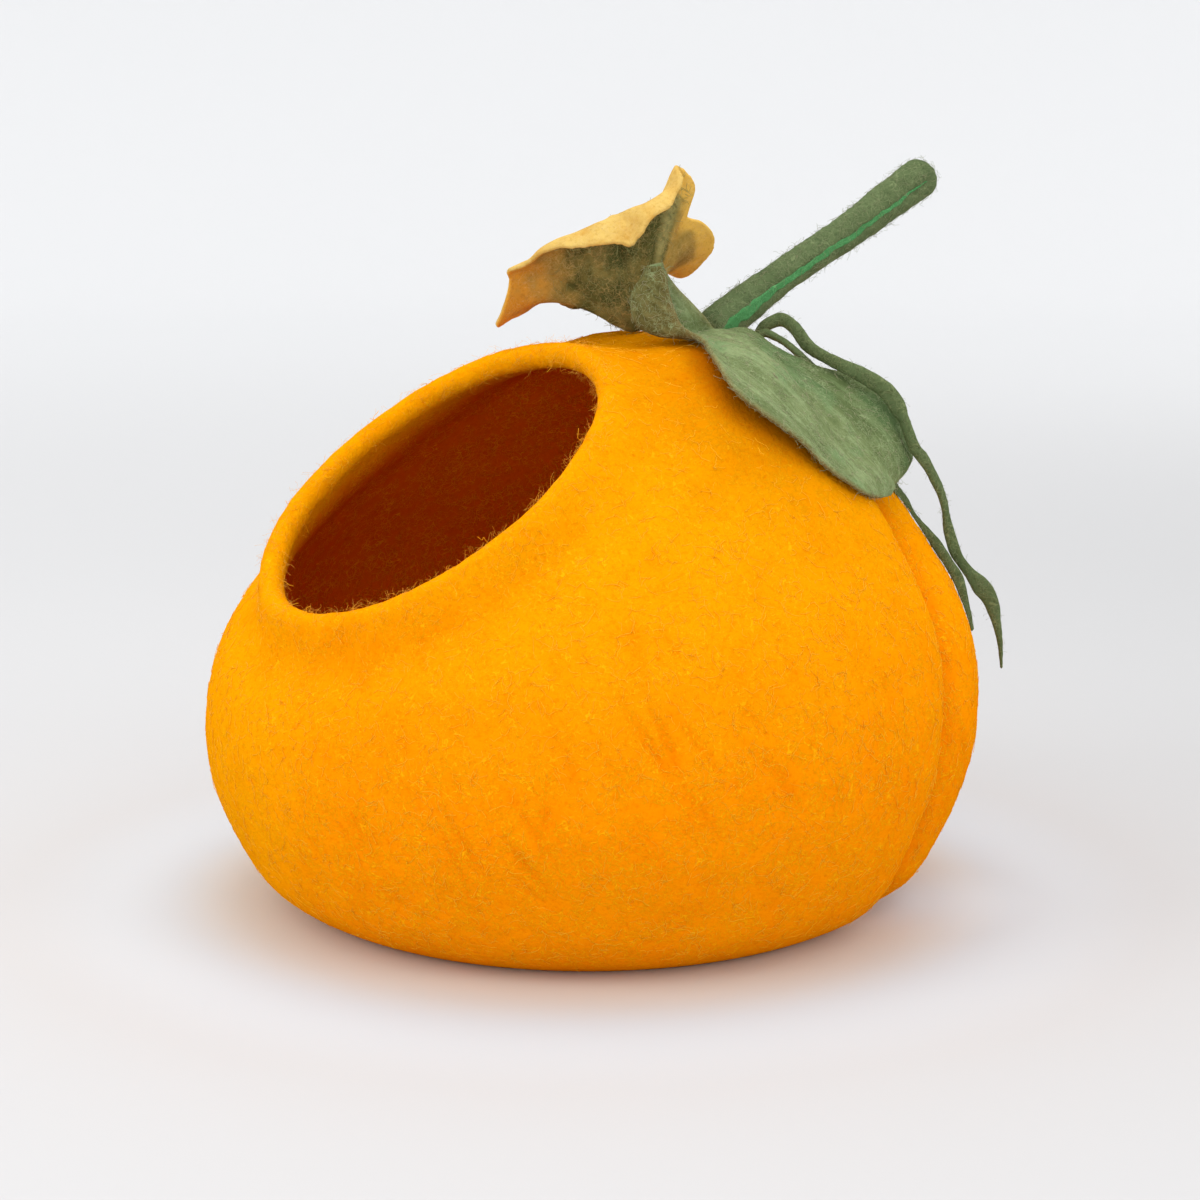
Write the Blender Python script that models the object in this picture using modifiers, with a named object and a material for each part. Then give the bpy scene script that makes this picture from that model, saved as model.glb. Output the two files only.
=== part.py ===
"""Felt cat cave in the shape of a pumpkin.

A round shell of thick wool felt stands on its flattened base, with a slanted round mouth at the front
(-Y) and three furrows down its back (+Y). A rolled felt stem, a felt leaf, a five-petalled blossom
and two flat tendrils are sewn to its crown, behind the mouth.

The origin is on the floor, in the middle of the flattened base. Tables are in millimetres and
degrees; everything built from them is in metres.
"""

import math

import bmesh
import bpy
import numpy as np
from mathutils import Vector
from mathutils.bvhtree import BVHTree

MM = 0.001
UP = Vector((0, 0, 1))

# Shell: wall, and the heart, the point inside it from which its reach is measured.
WALL = 9.0 * MM
HEART = Vector((0, 0, 118.0)) * MM
SHELL_COLUMNS = 64
SHELL_RINGS = 30

# Columns: angle from straight up, reach of the outside of the felt from the heart.
BODY_SECTIONS = (
    (0, 214.0),
    (20, 224.5),
    (40, 211.0),
    (60, 213.0),
    (80, 228.0),
    (95, 231.5),
    (108, 226.0),
    (116, 221.0),
    (122, 211.0),
    (127, 199.0),
    (134, 178.0),
)
CROWN_LEAN = 31.0 * MM  # how far the crown sits behind the base
LEAN_START = 60.0 * MM  # height where the lean begins
LEAN_SPAN = 280.0 * MM

# Furrows: their angles round from straight back. The table's columns are the angle from straight up,
# then their depth, their half-width and how much further round the outer two lie there.
FURROWS = (-46.0, 0.0, 46.0)
FURROW_SECTIONS = (
    (8, 0.0, 20.0, 0.0),
    (30, 8.0, 34.0, 0.0),
    (60, 14.0, 46.0, 2.5),
    (75, 16.0, 50.0, 6.5),
    (90, 18.0, 50.0, 10.5),
    (110, 15.0, 46.0, 13.0),
    (124, 4.0, 32.0, 12.0),
    (127, 0.0, 30.0, 12.0),
)
FURROW_SHARPNESS = 2.4

# Mouth: a circle square to a line from the heart, tilted forwards.
MOUTH_TILT = math.radians(37.1)
MOUTH_RADIUS = 114.5 * MM
MOUTH_FROM_HEART = 182.0 * MM
COLLAR = 80.0 * MM  # width of the felt that is drawn in around the mouth
TROUGH_DEPTH = 4.5 * MM
TROUGH_WIDTH = 60.0 * MM
LIP_ROUNDING = 4.2 * MM

SEWN_GAP = 0.6 * MM  # between a sewn-on piece and the felt under it
SHEET_GAP = 1.5 * MM
PETAL_FELT = 3.0 * MM
LEAF_FELT = 3.2 * MM

# Leaf, from the raised end of its cupped lobe to its tip. Columns: share of the length, then x, y, z
# of its near edge, of its rib and of its far edge.
LEAF_SECTIONS = (
    (0.00, 16, 41, 377, 9, 38, 377, 12, 45, 379),
    (0.06, 20, 42, 373, 7, 35, 370, 11, 49, 372),
    (0.13, 24, 42, 362, 5, 29, 358, 14, 54, 364),
    (0.21, 29, 43, 351, 9, 29, 345, 19, 60, 356),
    (0.29, 34, 45, 343, 20, 38, 338, 24, 67, 347),
    (0.37, 54, 44, 338, 33, 61, 335, 20, 80, 337),
    (0.46, 86, 31, 330, 49, 70, 332, 24, 98, 337),
    (0.55, 113, 25, 317, 68, 78, 322, 38, 110, 326),
    (0.66, 127, 36, 303, 86, 86, 310, 54, 127, 316),
    (0.77, 137, 57, 285, 102, 98, 294, 70, 145, 309),
    (0.87, 145, 72, 269, 116, 110, 276, 86, 159, 298),
    (0.94, 147, 93, 255, 124, 124, 263, 99, 164, 276),
    (0.98, 137, 113, 249, 122, 134, 256, 105, 160, 264),
    (1.00, 126, 127, 248, 118, 139, 252, 109, 152, 257),
)

# Rolls of felt. Columns: share of the length, centre x, y, z, width, thickness, twist.
STEM_SECTIONS = (
    (0.00, 3, 82, 331, 26, 26, 0),
    (0.12, 3, 99, 342, 25, 25, 0),
    (0.32, 3, 141, 366, 20.5, 20.5, 0),
    (0.55, 3, 185, 388, 21, 21, 0),
    (0.85, 3, 232, 414, 24.5, 24.5, 0),
    (1.00, 3, 254, 426, 24.5, 24.5, 0),
)
GROOVE_DEPTH = 1.8 * MM

TENDRIL_LONG_SECTIONS = (
    (0.00, 12, 112, 322, 6, 6, 0),
    (0.05, 15, 117, 336, 6, 7, 0),
    (0.09, 22, 125, 341, 5, 8.5, 0),
    (0.13, 33, 127, 337, 5, 8.5, 0),
    (0.17, 41, 130, 328, 5, 8.5, 0),
    (0.24, 60, 132, 321, 5, 7.5, 0),
    (0.28, 72, 133, 318, 5, 8, 0),
    (0.34, 87, 144, 310, 5, 10, 0),
    (0.37, 95, 149, 304, 5, 10.5, 0),
    (0.42, 102, 155, 291, 5, 9.5, 0),
    (0.46, 108, 155, 283, 5, 8, 0),
    (0.49, 113, 156, 273, 4.5, 7, 0),
    (0.53, 115, 162, 265, 4.5, 7.5, 0),
    (0.58, 113, 173, 251, 4, 6.5, 0),
    (0.62, 113, 179, 240, 4, 5.5, 0),
    (0.69, 111, 186, 219, 4, 7.5, 0),
    (0.73, 112, 190, 207, 4, 7, 0),
    (0.79, 115, 198, 194, 4, 6.5, 0),
    (0.83, 120, 205, 184, 3.5, 11, 0),
    (0.87, 124, 210, 174, 3.5, 9, 0),
    (0.90, 126, 212, 164, 3, 6, 0),
    (0.95, 128, 214, 150, 2.5, 3.5, 0),
    (1.00, 130, 214, 134, 1.5, 2, 0),
)
TENDRIL_BACK_SECTIONS = (
    (0.00, 22, 104, 327, 6, 5, 0),
    (0.05, 24, 112, 334, 6, 5, 0),
    (0.08, 30, 117, 331, 5, 4.5, 0),
    (0.16, 43, 126, 320, 5, 4.5, 0),
    (0.30, 62, 139, 297, 5, 5, 0),
    (0.44, 78, 149, 270, 5.5, 6, 0),
    (0.57, 95.7, 155, 245, 6, 8, 0),
    (0.62, 94.7, 163, 236, 6, 8.5, 0),
    (0.66, 97.7, 167, 228, 5, 6.5, 0),
    (0.72, 103.7, 173, 218, 6, 8, 0),
    (0.77, 108.7, 179, 209, 6, 8, 0),
    (0.82, 114.7, 183, 199, 6, 8, 0),
    (0.86, 117.7, 187, 191, 6, 8.5, 0),
    (0.91, 119.7, 190, 180, 6, 8, 0),
    (0.96, 120.7, 193, 169, 5, 6.5, 0),
    (1.00, 123, 196, 158, 2, 3, 0),
)

# Blossom: a trumpet of felt cut into five petals, its rim rolled outwards.
BLOSSOM_BASE = Vector((-24, 53, 334)) * MM
BLOSSOM_AXIS = Vector((-0.348, -0.194, 0.917)).normalized()
BLOSSOM_FRONT = Vector((0.822, -0.534, 0.199))
# Columns: angle round the axis from the front; how far the rim lies out from the axis and along it;
# how far along it the felt aims before it turns over.
PETALS = (
    (-129, 57, 48, 50),
    (-106, 67, 37, 52),
    (-98, 75, 35, 54),
    (-90, 80, 34, 55),
    (-83, 71, 44, 58),
    (-77, 65, 54, 62),
    (-71, 66, 59, 66),
    (-62, 60, 59, 72),
    (-52, 54, 61, 80),
    (-38, 47, 60, 85),
    (-22, 45, 55, 90),
    (-6, 47, 52, 94),
    (6, 47, 49.4, 98),
    (14, 45, 46.4, 104),
    (20, 45, 48, 102),
    (30, 55, 55, 95),
    (40, 61, 58, 90),
    (48, 62, 64, 84),
    (55, 66, 73, 70),
    (61, 62, 82, 60),
    (68, 65, 76, 48),
    (74, 63, 69, 44),
    (81, 54, 59, 44),
    (87, 52, 55, 44),
    (95, 60, 49, 44),
    (103, 65, 40, 45),
    (112, 64, 32, 46),
    (122, 59, 27, 46),
    (134, 54, 25, 46),
    (155, 57, 42, 45),
    (180, 60, 47, 50),
    (208, 62, 31, 60),
    (231, 57, 48, 50),
)
PETAL_SPREAD = 0.45
BLOSSOM_FOOT = 6.0 * MM  # radius of its blunt lower end


def ease(share):
    """A smooth step from 0 to 1."""
    share = min(max(share, 0.0), 1.0)
    return share * share * (3 - 2 * share)


def smooth_row(rows, at):
    """The table's other columns at a value of its first, on a smooth curve through its rows."""
    table = np.array(rows, dtype=float)
    at = min(max(at, table[0, 0]), table[-1, 0])
    after = min(max(int(np.searchsorted(table[:, 0], at)), 1), len(table) - 1)
    before = after - 1
    slopes = np.gradient(table[:, 1:], table[:, 0], axis=0)
    span = table[after, 0] - table[before, 0]
    share = (at - table[before, 0]) / span
    start, end = table[before, 1:], table[after, 1:]
    curve_out = slopes[before] * span * (share**3 - 2 * share**2 + share)
    curve_in = slopes[after] * span * (share**3 - share**2)
    blend = share * share * (3 - 2 * share)
    return start + (end - start) * blend + curve_out + curve_in


def wool(name, colour, roughness=0.95):
    material = bpy.data.materials.new(name)
    material.use_nodes = True
    shader = material.node_tree.nodes["Principled BSDF"]
    shader.inputs["Base Color"].default_value = (*colour, 1.0)
    shader.inputs["Roughness"].default_value = roughness
    shader.inputs["Metallic"].default_value = 0.0
    return material


def felt_object(name, mesh, material, collection):
    felt = bpy.data.objects.new(name, mesh)
    mesh.materials.append(material)
    mesh.shade_smooth()
    collection.objects.link(felt)
    return felt


def thicken(felt, thickness, offset, rounding=0.0, segments=2):
    """Gives a sheet its thickness and rounds its cut edge."""
    solidify = felt.modifiers.new("Felt", "SOLIDIFY")
    solidify.thickness = thickness
    solidify.offset = offset
    solidify.use_even_offset = True
    if rounding:
        bevel = felt.modifiers.new("Rounded edge", "BEVEL")
        bevel.width = rounding
        bevel.segments = segments
        bevel.limit_method = "ANGLE"
        bevel.angle_limit = math.radians(62)


def mapped_mesh(name, form, place):
    """Moves every point of a primitive to the place worked out from its own."""
    for vert in form.verts:
        vert.co = place(vert.co)
    form.normal_update()
    bmesh.ops.recalc_face_normals(form, faces=form.faces)
    mesh = bpy.data.meshes.new(name)
    form.to_mesh(mesh)
    form.free()
    return mesh


def open_sphere(columns, rings):
    """A ball without its top point, to be spread into a hollow form with a mouth."""
    form = bmesh.new()
    bmesh.ops.create_uvsphere(form, u_segments=columns, v_segments=rings, radius=1)
    top = max(form.verts, key=lambda vert: vert.co.z)
    bmesh.ops.delete(form, geom=[top], context="VERTS")
    return form


def share_from_mouth(co, rings):
    """0 on an open sphere's rim, 1 at its bottom point."""
    first = math.pi / rings
    polar = math.acos(min(max(co.normalized().z, -1.0), 1.0))
    return max((polar - first) / (math.pi - first), 0.0)


def furrow_depth(direction, polar, reach):
    depth, half_width, further = smooth_row(FURROW_SECTIONS, polar) * MM
    turn = math.degrees(math.atan2(direction.x, direction.y))
    nearest = min(
        abs(turn - furrow - math.copysign(min(abs(furrow), 1), furrow) * further / MM)
        for furrow in FURROWS
    )
    across = math.radians(nearest) * reach * math.sin(math.radians(polar))
    if polar > FURROW_SECTIONS[-1][0] or across > half_width:
        return 0.0
    return depth * (1 - across / half_width) ** FURROW_SHARPNESS


def shell_point(direction):
    """The outside of the felt along a direction from the heart."""
    polar = math.degrees(direction.angle(UP))
    reach = smooth_row(BODY_SECTIONS, polar)[0] * MM
    reach -= furrow_depth(direction, polar, reach)
    if direction.z < 0:
        reach = min(reach, HEART.z / -direction.z)
    mouth_axis = Vector((0, -math.sin(MOUTH_TILT), math.cos(MOUTH_TILT)))
    rim_reach = math.hypot(MOUTH_RADIUS, MOUTH_FROM_HEART)
    rim_angle = math.atan2(MOUTH_RADIUS, MOUTH_FROM_HEART)
    from_lip = (direction.angle(mouth_axis) - rim_angle) * rim_reach
    drawn_in = ease(from_lip / COLLAR)
    reach = rim_reach + (reach - rim_reach) * drawn_in
    if 0 < from_lip < TROUGH_WIDTH:
        forwards = (1 - direction.z + mouth_axis.z) / 2
        trough = TROUGH_DEPTH * min(max(forwards * 2 - 0.2, 0.2), 1)
        reach -= trough * math.sin(math.pi * from_lip / TROUGH_WIDTH) ** 2
    point = HEART + direction * reach
    lean = max(point.z - LEAN_START, 0) / LEAN_SPAN
    point.y += CROWN_LEAN * lean**1.5 * drawn_in
    return point


def shell_direction(co):
    """Rings spread from the mouth's rim to the point opposite it, under the shell."""
    rim_angle = math.atan2(MOUTH_RADIUS, MOUTH_FROM_HEART)
    from_axis = rim_angle + (math.pi - rim_angle) * share_from_mouth(co, SHELL_RINGS) ** 1.08
    mouth_axis = Vector((0, -math.sin(MOUTH_TILT), math.cos(MOUTH_TILT)))
    side = Vector((1, 0, 0))
    rise = mouth_axis.cross(side)
    round_axis = math.atan2(co.y, co.x)
    sideways = side * math.cos(round_axis) + rise * math.sin(round_axis)
    return mouth_axis * math.cos(from_axis) + sideways * math.sin(from_axis)


def make_shell(collection):
    form = open_sphere(SHELL_COLUMNS, SHELL_RINGS)
    mesh = mapped_mesh("cave_shell", form, lambda co: shell_point(shell_direction(co)))
    shell = felt_object("cave_shell", mesh, wool("Orange felt", (0.93, 0.35, 0.01)), collection)
    thicken(shell, WALL, -1, LIP_ROUNDING, 3)
    return shell


def surface_of(felt):
    """The outside of the felt, for what is sewn on top of it."""
    form = bmesh.new()
    form.from_mesh(felt.data)
    tree = BVHTree.FromBMesh(form)
    form.free()
    return tree


def lifted(point, surface, gap):
    """The point, moved straight out from the heart where it is nearer than the gap to the felt."""
    outwards = (point - HEART).normalized()
    felt = surface.ray_cast(HEART, outwards)[0]
    if felt is None or (point - felt).dot(outwards) >= gap:
        return point
    return felt + outwards * gap


def leaf_point(along, across, surface):
    """across runs from -1 at the near edge over the rib to 1 at the far edge."""
    row = smooth_row(LEAF_SECTIONS, along) * MM
    near, rib, far = Vector(row[:3]), Vector(row[3:6]), Vector(row[6:])
    point = rib + (far - near) / 2 * across + ((near + far) / 2 - rib) * across**2
    return lifted(point, surface, SHEET_GAP + LEAF_FELT / 2)


def make_leaf(surface, collection):
    form = bmesh.new()
    bmesh.ops.create_grid(form, x_segments=34, y_segments=12, size=1)
    mesh = mapped_mesh(
        "leaf",
        form,
        lambda co: leaf_point((1 - math.cos((co.x + 1) / 2 * math.pi)) / 2, co.y, surface),
    )
    leaf = felt_object("leaf", mesh, wool("Leaf felt", (0.19, 0.27, 0.13)), collection)
    thicken(leaf, LEAF_FELT, 0)
    return leaf


def roll_point(rows, length, co, surface, groove):
    """A point on a roll of felt with round ends, from its place on a ball."""
    along = min(max((1 + co.z) / 2, 0.0), 1.0)
    row = smooth_row(rows, along)
    step = 0.01
    ahead = Vector(smooth_row(rows, min(along + step, 1))[:3])
    behind = Vector(smooth_row(rows, max(along - step, 0))[:3])
    tangent = (ahead - behind).normalized()
    across = tangent.cross(UP).normalized()
    rise = across.cross(tangent)
    width, thickness, twist = row[3] * MM, row[4] * MM, math.radians(row[5])
    from_end = min(along, 1 - along) * length
    rounding = min(from_end / (width / 2), 1)
    shrink = math.sqrt(max(1 - (1 - rounding) ** 2, 0))
    turn = math.atan2(co.y, co.x)
    dent = GROOVE_DEPTH if groove and abs(turn) < 0.02 else 0.0
    flat = (width / 2 - dent) * math.cos(turn) * shrink
    thick = thickness / 2 * math.sin(turn) * shrink
    centre = Vector(row[:3]) * MM
    offset = across * (flat * math.cos(twist) - thick * math.sin(twist))
    offset += rise * (flat * math.sin(twist) + thick * math.cos(twist))
    return lifted(centre + offset, surface, SEWN_GAP)


def make_roll(name, rows, segments, rings, colour, surface, collection, groove=False):
    points = [Vector(smooth_row(rows, share)[:3]) for share in np.linspace(0, 1, 50)]
    length = sum((after - before).length for before, after in zip(points, points[1:])) * MM
    form = bmesh.new()
    bmesh.ops.create_uvsphere(form, u_segments=segments, v_segments=rings, radius=1)
    mesh = mapped_mesh(name, form, lambda co: roll_point(rows, length, co, surface, groove))
    return felt_object(name, mesh, wool(name + " felt", colour), collection)


def blossom_point(co, rings, surface):
    turn = (math.degrees(math.atan2(co.y, co.x)) - PETALS[0][0]) % 360 + PETALS[0][0]
    share = 1 - share_from_mouth(co, rings)
    out, along, rise = smooth_row(PETALS, turn) * MM
    side = (BLOSSOM_FRONT - BLOSSOM_AXIS * BLOSSOM_FRONT.dot(BLOSSOM_AXIS)).normalized()
    other = BLOSSOM_AXIS.cross(side)
    sideways = side * math.cos(math.radians(turn)) + other * math.sin(math.radians(turn))
    fold = BLOSSOM_AXIS * rise + sideways * out * PETAL_SPREAD
    rim = BLOSSOM_AXIS * along + sideways * out
    foot = sideways * BLOSSOM_FOOT * min(share / 0.1, 1) ** 0.5 * (1 - share)
    point = BLOSSOM_BASE + foot + fold * 2 * share * (1 - share) + rim * share**2
    return lifted(point, surface, SHEET_GAP + PETAL_FELT / 2)


def make_blossom(surface, collection):
    rings = 14
    form = open_sphere(48, rings)
    mesh = mapped_mesh("blossom", form, lambda co: blossom_point(co, rings, surface))
    blossom = felt_object("blossom", mesh, wool("Petal felt", (0.75, 0.42, 0.10)), collection)
    thicken(blossom, PETAL_FELT, 0)
    return blossom


def clear_scene():
    for leftover in list(bpy.data.objects):
        bpy.data.objects.remove(leftover, do_unlink=True)


def main():
    clear_scene()
    collection = bpy.data.collections.new("Felt cat cave")
    bpy.context.scene.collection.children.link(collection)
    shell = make_shell(collection)
    surface = surface_of(shell)
    make_leaf(surface, collection)
    green = (0.12, 0.19, 0.08)
    make_roll("stem", STEM_SECTIONS, 20, 16, green, surface, collection, groove=True)
    make_roll("tendril_long", TENDRIL_LONG_SECTIONS, 8, 36, green, surface, collection)
    make_roll("tendril_back", TENDRIL_BACK_SECTIONS, 8, 28, green, surface, collection)
    make_blossom(surface, collection)


main()
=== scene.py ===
# Felt cat cave in the shape of a pumpkin: the looks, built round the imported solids.
# The pieces' tables are in millimetres and degrees; view, stage, lamps and meshes are in metres.
import math

import bmesh
import bpy
import numpy as np
from mathutils import Matrix, Vector, noise
from mathutils.bvhtree import BVHTree


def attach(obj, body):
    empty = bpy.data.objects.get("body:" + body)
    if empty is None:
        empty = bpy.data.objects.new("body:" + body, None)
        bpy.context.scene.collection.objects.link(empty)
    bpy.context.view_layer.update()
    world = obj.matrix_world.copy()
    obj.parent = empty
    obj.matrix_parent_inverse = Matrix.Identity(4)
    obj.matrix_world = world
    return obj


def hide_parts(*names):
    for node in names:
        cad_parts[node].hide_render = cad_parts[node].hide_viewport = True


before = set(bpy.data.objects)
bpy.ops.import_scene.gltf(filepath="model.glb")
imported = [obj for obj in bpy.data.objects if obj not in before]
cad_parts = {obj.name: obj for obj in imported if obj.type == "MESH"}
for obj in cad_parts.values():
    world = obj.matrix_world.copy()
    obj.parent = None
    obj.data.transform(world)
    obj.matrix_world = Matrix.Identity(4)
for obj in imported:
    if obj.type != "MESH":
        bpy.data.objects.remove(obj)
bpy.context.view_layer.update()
mm = 0.001


def say(stage):
    print("cat cave:", stage)


def ease(share):
    share = np.clip(share, 0.0, 1.0)
    return share * share * (3 - 2 * share)


def unit(vectors):
    return vectors / np.maximum(np.linalg.norm(vectors, axis=-1, keepdims=True), 1e-12)


def smoothRows(rows, at):  # a table's other columns at many values of its first, on a smooth curve
    table = np.array(rows, dtype=float)
    at = np.clip(np.asarray(at, dtype=float), table[0, 0], table[-1, 0])
    after = np.clip(np.searchsorted(table[:, 0], at), 1, len(table) - 1)
    before = after - 1
    slopes = np.gradient(table[:, 1:], table[:, 0], axis=0)
    span = (table[after, 0] - table[before, 0])[..., None]
    share = (at - table[before, 0])[..., None] / span
    start, end = table[before, 1:], table[after, 1:]
    curveOut = slopes[before] * span * (share**3 - 2 * share**2 + share)
    curveIn = slopes[after] * span * (share**3 - share**2)
    return start + (end - start) * share * share * (3 - 2 * share) + curveOut + curveIn


def wobble(points, size, seed):  # soft noise of about -1 to 1 with bumps of the size given, in metres
    shift = Vector((seed * 7.31, seed * 3.17, seed * 5.71))
    flat = points.reshape(-1, 3) / size
    values = [noise.noise(Vector(point) + shift) for point in flat.tolist()]
    return np.array(values).reshape(points.shape[:-1])


def unevenness(points, rows):  # soft noise summed; each row is a height, the size of its bumps and a seed
    return sum(height * wobble(points, size * mm, seed) for height, size, seed in rows)


def linked(name, data):
    thing = bpy.data.objects.new(name, data)
    bpy.context.scene.collection.objects.link(thing)
    return thing


def makePiece(name, points, faces, material):
    mesh = bpy.data.meshes.new(name)
    mesh.from_pydata(points.tolist(), [], faces)
    mesh.validate()
    form = bmesh.new()
    form.from_mesh(mesh)
    bmesh.ops.recalc_face_normals(form, faces=form.faces)
    form.to_mesh(mesh)
    form.free()
    mesh.materials.append(material)
    mesh.shade_smooth()
    return linked(name, mesh)


def gridFaces(rows, columns, wrap):
    row, column = np.meshgrid(np.arange(rows - 1), np.arange(columns if wrap else columns - 1), indexing="ij")
    following = (column + 1) % columns
    corners = (row * columns + column, row * columns + following,
               (row + 1) * columns + following, (row + 1) * columns + column)
    return np.stack([corner.ravel() for corner in corners], axis=1).tolist()


def fanFaces(ring, tip):  # closes a ring of points onto one point
    return [(ring[i], ring[(i + 1) % len(ring)], tip) for i in range(len(ring))]


def closedFaces(rows, columns):  # for rings of points that close onto two tips, which come after them
    count = rows * columns
    firstTip = fanFaces(range(columns), count)
    return gridFaces(rows, columns, True) + firstTip + fanFaces(range(count - columns, count), count + 1)


def gridNormals(grid, wrap):
    if wrap:
        across = np.roll(grid, -1, axis=1) - np.roll(grid, 1, axis=1)
    else:
        across = np.gradient(grid, axis=1)
    return unit(np.cross(across, np.gradient(grid, axis=0)))


def pointAttribute(piece, name, values):
    attribute = piece.data.attributes.new(name, "FLOAT", "POINT")
    attribute.data.foreach_set("value", np.asarray(values, np.float32).ravel())


view = {
    "azimuth": 57.0,
    "elevation": 11.5,
    "distance": 1.8,
    "target": (0.004, 0.0061, 0.178),
    "lens": 90.0,
    "sensor": 36.0,
    "farthest": 50.0,
}
stage = {
    "sides": 128,
    "flatRings": (0.35, 0.8, 1.5, 2.3),
    "floorRadius": 3.2,
    "sweep": 1.5,
    "sweepRings": 24,
    "wallHeight": 1.7,
    "nearTone": (0.70, 0.69, 0.64),  # painted light: under the shell paler to lift its shadow, then beside it cooler against the orange bounce, then on the floor, and far off paler where the lamps reach less
    "besideTone": (0.60, 0.645, 0.685),
    "floorTone": (0.57, 0.57, 0.575),
    "farTone": (0.76, 0.765, 0.772),
    "nearFades": (0.19, 0.26),
    "besideFades": (0.25, 0.36),
    "floorFades": (1.0, 3.6),
    "paintedLightTone": (0.72, 0.83, 0.92),  # painted light: clearer where the light comes round the shell
    "paintedLightPlace": (0.128, 0.145, 0.0),
    "paintedLightReach": (0.0, 0.085),
    "paintedShadePlace": (0.1, 1.3, 0.0),  # painted shade: darker on one side behind
    "paintedShadeReach": (0.3, 1.9),
    "paintedShadeDepth": 0.89,
    "roughness": 0.9,
    "shine": 0.1,
    "skyTone": (0.985, 0.99, 1.0),
    "skyStrength": 1.17,
    "lampsAim": (0, 0, 0.15),
}
lamps = (  # name, place, size, power, colour
    ("overheadSoftbox", (-0.3, 0.2, 2.5), 1.7, 18.0, (1.0, 0.99, 0.975)),
    ("frontSoftbox", (-0.4, -2.9, 1.5), 1.8, 24.0, (1.0, 0.99, 0.98)),
    ("sideSoftbox", (2.9, 1.2, 1.5), 1.6, 16.0, (1.0, 0.99, 0.98)),
    ("lowFill", (2.6, -1.7, 0.75), 1.6, 12.0, (1.0, 0.985, 0.97)),
)


class Nodes:  # short hand for wiring a node tree
    def __init__(self, tree):
        self.tree = tree

    def add(self, kind, settings=(), **links):
        node = self.tree.nodes.new(kind)
        for key, value in dict(settings).items():
            setattr(node, key, value)
        for key, value in links.items():
            self.join(node.inputs[key.replace("_", " ")], value)
        return node

    def join(self, socket, value):
        if isinstance(value, bpy.types.NodeSocket):
            self.tree.links.new(value, socket)
        elif isinstance(value, bpy.types.Node):
            self.tree.links.new(value.outputs[0], socket)
        else:
            socket.default_value = value

    def math(self, operation, first, second=0.0, clamp=False):
        node = self.add("ShaderNodeMath", {"operation": operation, "use_clamp": clamp})
        self.join(node.inputs[0], first)
        self.join(node.inputs[1], second)
        return node.outputs[0]

    def plus(self, first, second):
        return self.math("ADD", first, second)

    def minus(self, first, second):
        return self.math("SUBTRACT", first, second)

    def times(self, first, second, clamp=False):
        return self.math("MULTIPLY", first, second, clamp)

    def vector(self, operation, first, second=(0, 0, 0)):
        node = self.add("ShaderNodeVectorMath", {"operation": operation})
        self.join(node.inputs[0], first)
        self.join(node.inputs[3 if operation == "SCALE" else 1], second)
        return node.outputs["Value" if operation in ("LENGTH", "DISTANCE", "DOT_PRODUCT") else "Vector"]

    def range(self, value, low, high, toLow=0.0, toHigh=1.0):
        node = self.add("ShaderNodeMapRange", {"interpolation_type": "SMOOTHSTEP"})
        for socket, given in zip(node.inputs, (value, low, high, toLow, toHigh)):
            self.join(socket, given)
        return node.outputs[0]

    def mix(self, share, first, second, blend="MIX"):
        node = self.add("ShaderNodeMix", {"data_type": "RGBA", "blend_type": blend})
        for socket, given in (("Factor", share), ("A", first), ("B", second)):
            given = (*given, 1.0) if isinstance(given, tuple) else given
            self.join(node.inputs[socket], given)
        return node.outputs["Result"]

    def noise(self, where, scale, detail=2.0, roughness=0.5, result="Fac"):
        node = self.add("ShaderNodeTexNoise", Vector=where, Scale=scale, Detail=detail, Roughness=roughness)
        return node.outputs[result]

    def attribute(self, name):
        return self.add("ShaderNodeAttribute", {"attribute_name": name}).outputs["Fac"]


def placeCamera():
    turn, tilt = math.radians(view["azimuth"]), math.radians(view["elevation"])
    back = Vector((math.sin(turn) * math.cos(tilt), -math.cos(turn) * math.cos(tilt), math.sin(tilt)))
    data = bpy.data.cameras.new("camera")
    data.lens = view["lens"]
    data.sensor_width = view["sensor"]
    data.clip_end = view["farthest"]
    camera = linked("camera", data)
    camera.location = Vector(view["target"]) + back * view["distance"]
    camera.rotation_euler = (-back).to_track_quat("-Z", "Y").to_euler()
    bpy.context.scene.camera = camera


def newMaterial(name, roughness, shine):
    material = bpy.data.materials.new(name)
    material.use_nodes = True
    nodes = Nodes(material.node_tree)
    shader = material.node_tree.nodes["Principled BSDF"]
    shader.inputs["Roughness"].default_value = roughness
    shader.inputs["Specular IOR Level"].default_value = shine
    where = nodes.add("ShaderNodeTexCoord").outputs["Object"]
    return material, nodes, shader, where


def paperMaterial():  # painted light and shade: its tone goes by the distance from the middle, and from one place of painted light and one of painted shade
    paper, nodes, shader, where = newMaterial("palePaper", stage["roughness"], stage["shine"])
    away = nodes.vector("LENGTH", where)
    # painted light: paler under the shell and cooler beside it
    shade = nodes.mix(nodes.range(away, *stage["nearFades"]), stage["nearTone"], stage["besideTone"])
    shade = nodes.mix(nodes.range(away, *stage["besideFades"]), shade, stage["floorTone"])
    # painted light: a pale patch beside the shell
    fromPaintedLight = nodes.vector("DISTANCE", where, stage["paintedLightPlace"])
    shade = nodes.mix(nodes.range(fromPaintedLight, *stage["paintedLightReach"], 1.0, 0.0), shade, stage["paintedLightTone"])
    # painted light: paler far off, where the lamps reach less
    shade = nodes.mix(nodes.range(away, *stage["floorFades"]), shade, stage["farTone"])
    # painted shade: darker towards one side behind
    fromPaintedShade = nodes.vector("DISTANCE", where, stage["paintedShadePlace"])
    paintedShade = nodes.range(fromPaintedShade, *stage["paintedShadeReach"], stage["paintedShadeDepth"], 1.0)
    nodes.join(shader.inputs["Base Color"], nodes.vector("SCALE", shade, paintedShade))
    return paper


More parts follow.
